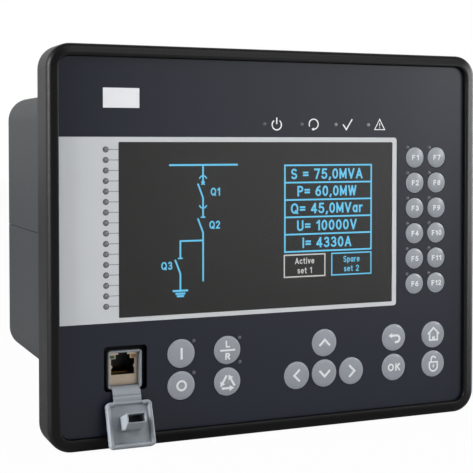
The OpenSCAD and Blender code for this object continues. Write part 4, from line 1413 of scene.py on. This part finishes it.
@dataclass
class Port:
    """Soft frame round the network socket, with its strap and cover.

    The cover is worked out closed and then turned open about the fold.
    """

    room: float = 0.15
    wall: float = 1.0
    frame_radius: float = 1.4
    frame_set: float = 1.0
    frame_edge: float = 0.4
    flange: Pair = (21.8, 21.9)
    flange_radius: float = 1.8
    flange_thick: float = 1.2
    strap_width: float = 14.3
    strap: float = 0.7
    strap_thin: float = 0.2
    strap_round: float = 2.2
    strap_steps: int = 12
    bend_steps: int = 3
    crease: float = 0.5
    crease_depth: float = 0.25
    sill: Pair = (1.3, 0.9)
    strap_bend: Pair = (-17.3, -70.05)
    cover_root: Pair = (-20.0, -70.55)
    cover_size: Pair = (23.2, 22.4)
    cover_radius: float = 2.2
    cover_y: float = -20.8
    floor_y: float = -19.2
    rim_y: float = -16.9
    rim: float = 2.0
    rim_edge: float = 0.95
    rim_steps: int = 7
    sill_steps: int = 5
    edge: float = 0.6
    sunk: float = 0.3
    plug: Pair = (10.0, 6.95)
    plug_radius: float = 0.6
    plug_z: float = -59.9
    plug_y: Pair = (-11.6, -7.5)
    plug_slope: float = 2.0
    plug_hole: Pair = (8.1, 3.75)
    plug_edge: float = 0.25
    hole_y: float = -20.0

    def __post_init__(self) -> None:
        """Reads the socket's and the fold's places from the frame."""
        self.jack = NodeBox.of("jack_shield")
        self.seat = NodeBox.of("port_frame")
        self.front = float(NodeBox.of("front_overlay").low[1]) + self.frame_set
        hinge = next(joint for joint in frame["joints"] if joint["name"] == "cover_hinge")
        self.fold = np.array(hinge["pos_m"][1:]) / MM
        self.open = float(hinge["range_deg"][1])
        self.x, self.z = (float(value) for value in self.jack.middle[[0, 2]])
        self.inner = self.jack.high[[0, 2]] - self.jack.low[[0, 2]] + 2 * self.room
        self.outer = self.inner + 2 * self.wall

    def frame_rim(self) -> Shape:
        """Gives the frame's wall: rounded outlines that go up its outside and down its inside.

        Returns:
            The closed wall.
        """
        back = float(self.seat.high[1])
        up = slab_rings(self.outer, self.frame_radius, back, self.front, self.frame_edge)
        down = slab_rings(self.inner, self.edge / 2, back, self.front, -self.frame_edge)
        return skin(np.concatenate([up, down[::-1]]), loop=True).moved(self.x, 0.0, self.z)

    def frame_flange(self) -> Shape:
        """Gives the plate that holds the frame in its recess.

        Returns:
            The plate with its hole.
        """
        back = float(self.seat.high[1])
        middle = (self.x, float(self.seat.high[2]) - self.flange[1] / 2)
        outer = rounded(self.flange, self.flange_radius, middle)
        hole = rounded(self.outer - self.sunk, self.frame_radius, (self.x, self.z))
        return Pen(back - self.flange_thick, back).hollow(outer, hole)

    def strap_path(self) -> np.ndarray:
        """Gives the strap's middle line as (y, z): a curve over its bend, then straight lines by the fold.

        Returns:
            Points from the frame to the cover.
        """
        root = np.array([self.front + self.strap / 2, self.z - (self.inner[1] + self.wall) / 2])
        bend = np.array(self.strap_bend)
        knee = (bend + self.fold) / 2
        tail = Shape(np.array([[0.0, self.cover_root[0], self.cover_root[1] + 2 * self.sunk]]), [])
        end = tail.turned(self.fold, self.open).points[0, 1:]
        share = np.linspace(0, 1, self.strap_steps)[:, None]
        curve = (1 - share) ** 2 * root + 2 * share * (1 - share) * bend + share**2 * knee
        down = knee + (self.fold - knee) * share
        on = self.fold + (end - self.fold) * share
        return np.concatenate([curve, down[1:], on[1:]])

    def strap_shape(self) -> Shape:
        """Carries a flat, round-edged section down the strap's path.

        Each ring stands square to the path. Its thickness falls to the fold's, and it sinks back there, as a
        bell curve of the distance from the fold.

        Returns:
            The closed strap.
        """
        path = self.strap_path()
        ahead = np.gradient(path, axis=0)
        ahead /= np.linalg.norm(ahead, axis=1, keepdims=True)
        away = np.linalg.norm(path - self.fold, axis=1) / self.crease
        bell = np.exp(-(away**2))
        thick = self.strap - (self.strap - self.strap_thin) * bell
        rings = round_rings(self.strap_width, thick, thick / self.strap_round, 0.0, steps=4)
        y = path[:, :1] + self.crease_depth * bell[:, None] + rings[..., 2] * ahead[:, 1:]
        z = path[:, 1:] - rings[..., 2] * ahead[:, :1]
        return skin(np.stack([rings[..., 0] + self.x, y, z], axis=-1))

    def ridge(self, path: np.ndarray, half: float, top: float, ease: float, steps: int) -> Shape:
        """Carries a round-topped section along a path on the cover's inner face.

        Args:
            path: Points as (x, z).
            half: Half of the section's width.
            top: Place of its top along Y.
            ease: Radius of its top edges.
            steps: Points on each of those edges.

        Returns:
            The closed shape.
        """
        low = self.floor_y - self.sunk
        left = arc((ease - half, top - ease), ease, 180, 90, steps)
        right = arc((half - ease, top - ease), ease, 90, 0, steps)
        return carried(path, chain(line((half, low), (-half, low)), left, right))

    def rim_wall(self) -> Shape:
        """Gives the rim round the cover's edge, from one side of the strap to the other.

        Returns:
            The closed rim.
        """
        half, reach = self.rim / 2, self.strap_width / 2
        wide, high = (size - self.rim for size in self.cover_size)
        outline = rounded((wide, high), self.cover_radius - half)
        path = np.roll(outline, len(outline) // 4, axis=0)
        path = chain(line((reach, -high / 2)), path, line((-reach, -high / 2)))
        return self.ridge(path, half, self.rim_y, self.rim_edge, self.rim_steps)

    def sill_wall(self) -> Shape:
        """Gives the low sill along the strap's root, between the ends of the rim.

        Returns:
            The closed sill.
        """
        wide, high = self.sill
        reach, z = self.strap_width / 2, (wide - self.cover_size[1]) / 2
        path, top = line((-reach, z), (reach, z)), self.floor_y + high
        return self.ridge(path, wide / 2, top, self.edge / 2, self.sill_steps)

    def plug_shape(self) -> Shape:
        """Gives the hollow plug: outlines that go up its hollow, over its tip and down its outside.

        Its upper side slopes in towards the tip.

        Returns:
            The closed plug.
        """
        (wide, high), (knee, tip) = self.plug, self.plug_y
        end = high - self.plug_slope
        drop, ease = self.plug_slope / 2, self.plug_edge
        hole = np.array(self.plug_hole)
        rows = np.array(
            [
                (*hole, ease, self.hole_y, drop),
                (*hole, ease, tip - ease, drop),
                (*(hole + 2 * ease), 2 * ease, tip, drop),
                (wide - 2 * ease, end - 2 * ease, self.plug_radius - ease, tip, drop),
                (wide, end, self.plug_radius, tip - ease, drop),
                (wide, high, self.plug_radius, knee, 0.0),
                (wide, high, self.plug_radius, self.floor_y - self.sunk, 0.0),
            ]
        )
        rings = round_rings(*rows[:, :4].T)
        rings[..., 2] -= rows[:, 4:]
        return skin(rings).moved(0.0, 0.0, self.plug_z)

    def cover_shell(self) -> Shape:
        """Gives the open cover: plate, rim, sill and plug.

        Returns:
            The cover in its open place.
        """
        middle = self.cover_root[1] + self.cover_size[1] / 2
        plate = skin(slab_rings(self.cover_size, self.cover_radius, self.floor_y, self.cover_y, self.edge))
        edge = Shape.joined([plate, self.rim_wall(), self.sill_wall()]).moved(0.0, 0.0, middle)
        closed = Shape.joined([edge, self.plug_shape()])
        return closed.moved(self.x, 0.0, 0.0).turned(self.fold, self.open)

    def build(self) -> None:
        """Places the frame and its flange, the strap across the hinge, and the cover."""
        relay, cover = Body.RELAY.value, Body.COVER.value
        path = self.strap_path()
        at = int(np.argmin(np.linalg.norm(path - self.fold, axis=1)))
        bend = tuple((self.x, *path[at + step]) for step in (-self.bend_steps, self.bend_steps))
        self.frame_rim().place("port_frame_rim", RUBBER, relay, "port_rubber", ["port_frame"])
        # The flange gets the near-black finish that paints the shade in the recess.
        self.frame_flange().place("port_flange", FLANGE_SHADE, relay, "port_rubber")
        self.strap_shape().place("port_strap", RUBBER, cover, "port_rubber", bend=bend)
        self.cover_shell().place("port_cover_shell", RUBBER, cover, "port_rubber", ["port_cover"])


def dress(node: str, finish: Finish) -> None:
    """Gives a CAD node its finish."""
    frame["nodes"][node].material_slots[0].material = finish.material()


@dataclass(frozen=True)
class SoftBox:
    """A square soft lamp: its place and side in metres and its power in watts."""

    name: str
    at: Spot
    side: float
    power: float

    def build(self) -> None:
        """Makes the lamp, turned towards the part."""
        data = bpy.data.lights.new(self.name, "AREA")
        data.size = self.side
        data.energy = self.power
        made = bpy.data.objects.new(self.name, data)
        made.location = self.at
        made.rotation_euler = (-Vector(self.at)).to_track_quat("-Z", "Y").to_euler()
        made.visible_camera = False
        bpy.context.scene.collection.objects.link(made)


@dataclass
class Studio:
    """Camera, floor, backdrop and lamps."""

    eye: Spot = (-244.5, -550.0, 50.2)
    heading: Spot = (0.3875, 0.9214, -0.0291)
    lens: float = 86.23
    sensor: float = 36.0
    near: float = 0.01
    shift: Pair = (-0.0074, -0.1252)
    floor_side: float = 12.0
    backdrop_away: float = 4.0
    backdrop_height: float = 6.0
    pale_tone: Colour = tone(174, 174, 174)
    floor_glow: float = 0.97
    backdrop_glow: float = 1.0
    world_level: float = 0.08
    boxes: tuple[SoftBox, ...] = (
        SoftBox("right box", (0.42, -0.73, 0.15), 0.65, 1.6),
        SoftBox("key box", (0.827, -0.694, 0.21), 0.25, 1.75),
        SoftBox("side box", (1.2, 0.0, 0.1), 0.8, 24.0),
        SoftBox("left box", (-1.15, -0.03, 0.35), 0.6, 28.0),
        SoftBox("top box", (0.25, -0.4, 0.85), 0.7, 4.2),
    )

    def camera(self) -> None:
        """Makes the camera at the photograph's viewing angle."""
        data = bpy.data.cameras.new("camera")
        data.lens = self.lens
        data.sensor_width = self.sensor
        data.shift_x, data.shift_y = self.shift
        data.clip_start = self.near
        made = bpy.data.objects.new("camera", data)
        made.location = Vector(self.eye) * MM
        made.rotation_euler = Vector(self.heading).to_track_quat("-Z", "Y").to_euler()
        bpy.context.scene.collection.objects.link(made)
        bpy.context.scene.camera = made

    def pale(self, name: str, glow: float, kinds: Sequence[str]) -> bpy.types.Material:
        """Makes a pale stage finish that is white to some rays, and lit by the lamps otherwise.

        Args:
            name: The material's name.
            glow: Share of plain white in what those rays see; the rest takes the lamps' light and shadow.
            kinds: Kinds of ray that see it white.

        Returns:
            The material.
        """
        made = bpy.data.materials.new(name)
        made.use_nodes = True
        shader = Shader(made.node_tree)
        rays = [shader.node("ShaderNodeLightPath", output=f"Is {kind} Ray") for kind in kinds]
        seen = (sum(rays[1:], rays[0]) > 0.5) * glow
        lit = shader.node("ShaderNodeBsdfDiffuse", {"Color": self.pale_tone})
        white = shader.node("ShaderNodeEmission", {"Color": WHITE, "Strength": 1.0})
        shader.finish(shader.node("ShaderNodeMixShader", {0: seen, 1: lit, 2: white}))
        return made

    def sheet(self, name: str, corners: np.ndarray, glow: float, kinds: Sequence[str]) -> None:
        """Makes one flat stage piece from four corners in metres.

        Args:
            name: Its name.
            corners: The corners.
            glow: Share of plain white in what some rays see.
            kinds: Kinds of ray that see it white.
        """
        mesh = bpy.data.meshes.new(name)
        mesh.from_pydata(corners.tolist(), [], [[0, 1, 2, 3]])
        mesh.materials.append(self.pale(f"{name} paint", glow, kinds))
        made = bpy.data.objects.new(name, mesh)
        bpy.context.scene.collection.objects.link(made)

    def world(self) -> None:
        """Makes plain dim surroundings that the camera sees white."""
        made = bpy.data.worlds.new("surroundings")
        made.use_nodes = True
        shader = Shader(made.node_tree)
        dim, white = (
            shader.node("ShaderNodeBackground", {"Color": WHITE, "Strength": level})
            for level in (self.world_level, 1.0)
        )
        seen = shader.node("ShaderNodeLightPath", output="Is Camera Ray")
        mixed = shader.node("ShaderNodeMixShader", {0: seen, 1: dim, 2: white})
        shader.finish(mixed, "ShaderNodeOutputWorld")
        bpy.context.scene.world = made

    def build(self) -> None:
        """Sets the whole stage."""
        half, away, low = self.floor_side / 2, self.backdrop_away, float(CAD_BOX[0].z)
        flat = np.array([[-half, -half], [half, -half], [half, half], [-half, half]])
        self.sheet("floor", np.insert(flat, 2, low, axis=1), self.floor_glow, ("Camera", "Transmission"))
        wall = [[-half, away, low], [half, away, low]]
        top = [[half, away, self.backdrop_height], [-half, away, self.backdrop_height]]
        self.sheet("backdrop", np.array(wall + top), self.backdrop_glow, ("Camera", "Transmission", "Glossy"))
        for box in self.boxes:
            box.build()
        self.world()
        self.camera()
        bpy.context.scene.view_settings.view_transform = "Standard"


def main() -> None:
    """Builds the stage and every sub-assembly in order."""
    logging.basicConfig(level=logging.INFO, format="%(name)s: %(message)s")
    for node, finish in NODE_FINISHES.items():
        dress(node, finish)
    keypad = Keypad()
    keypad.build()
    FrontPrint().build(keypad.lamps())
    Screen().build()
    Port().build()
    Studio().build()


if __name__ == "__main__":
    main()
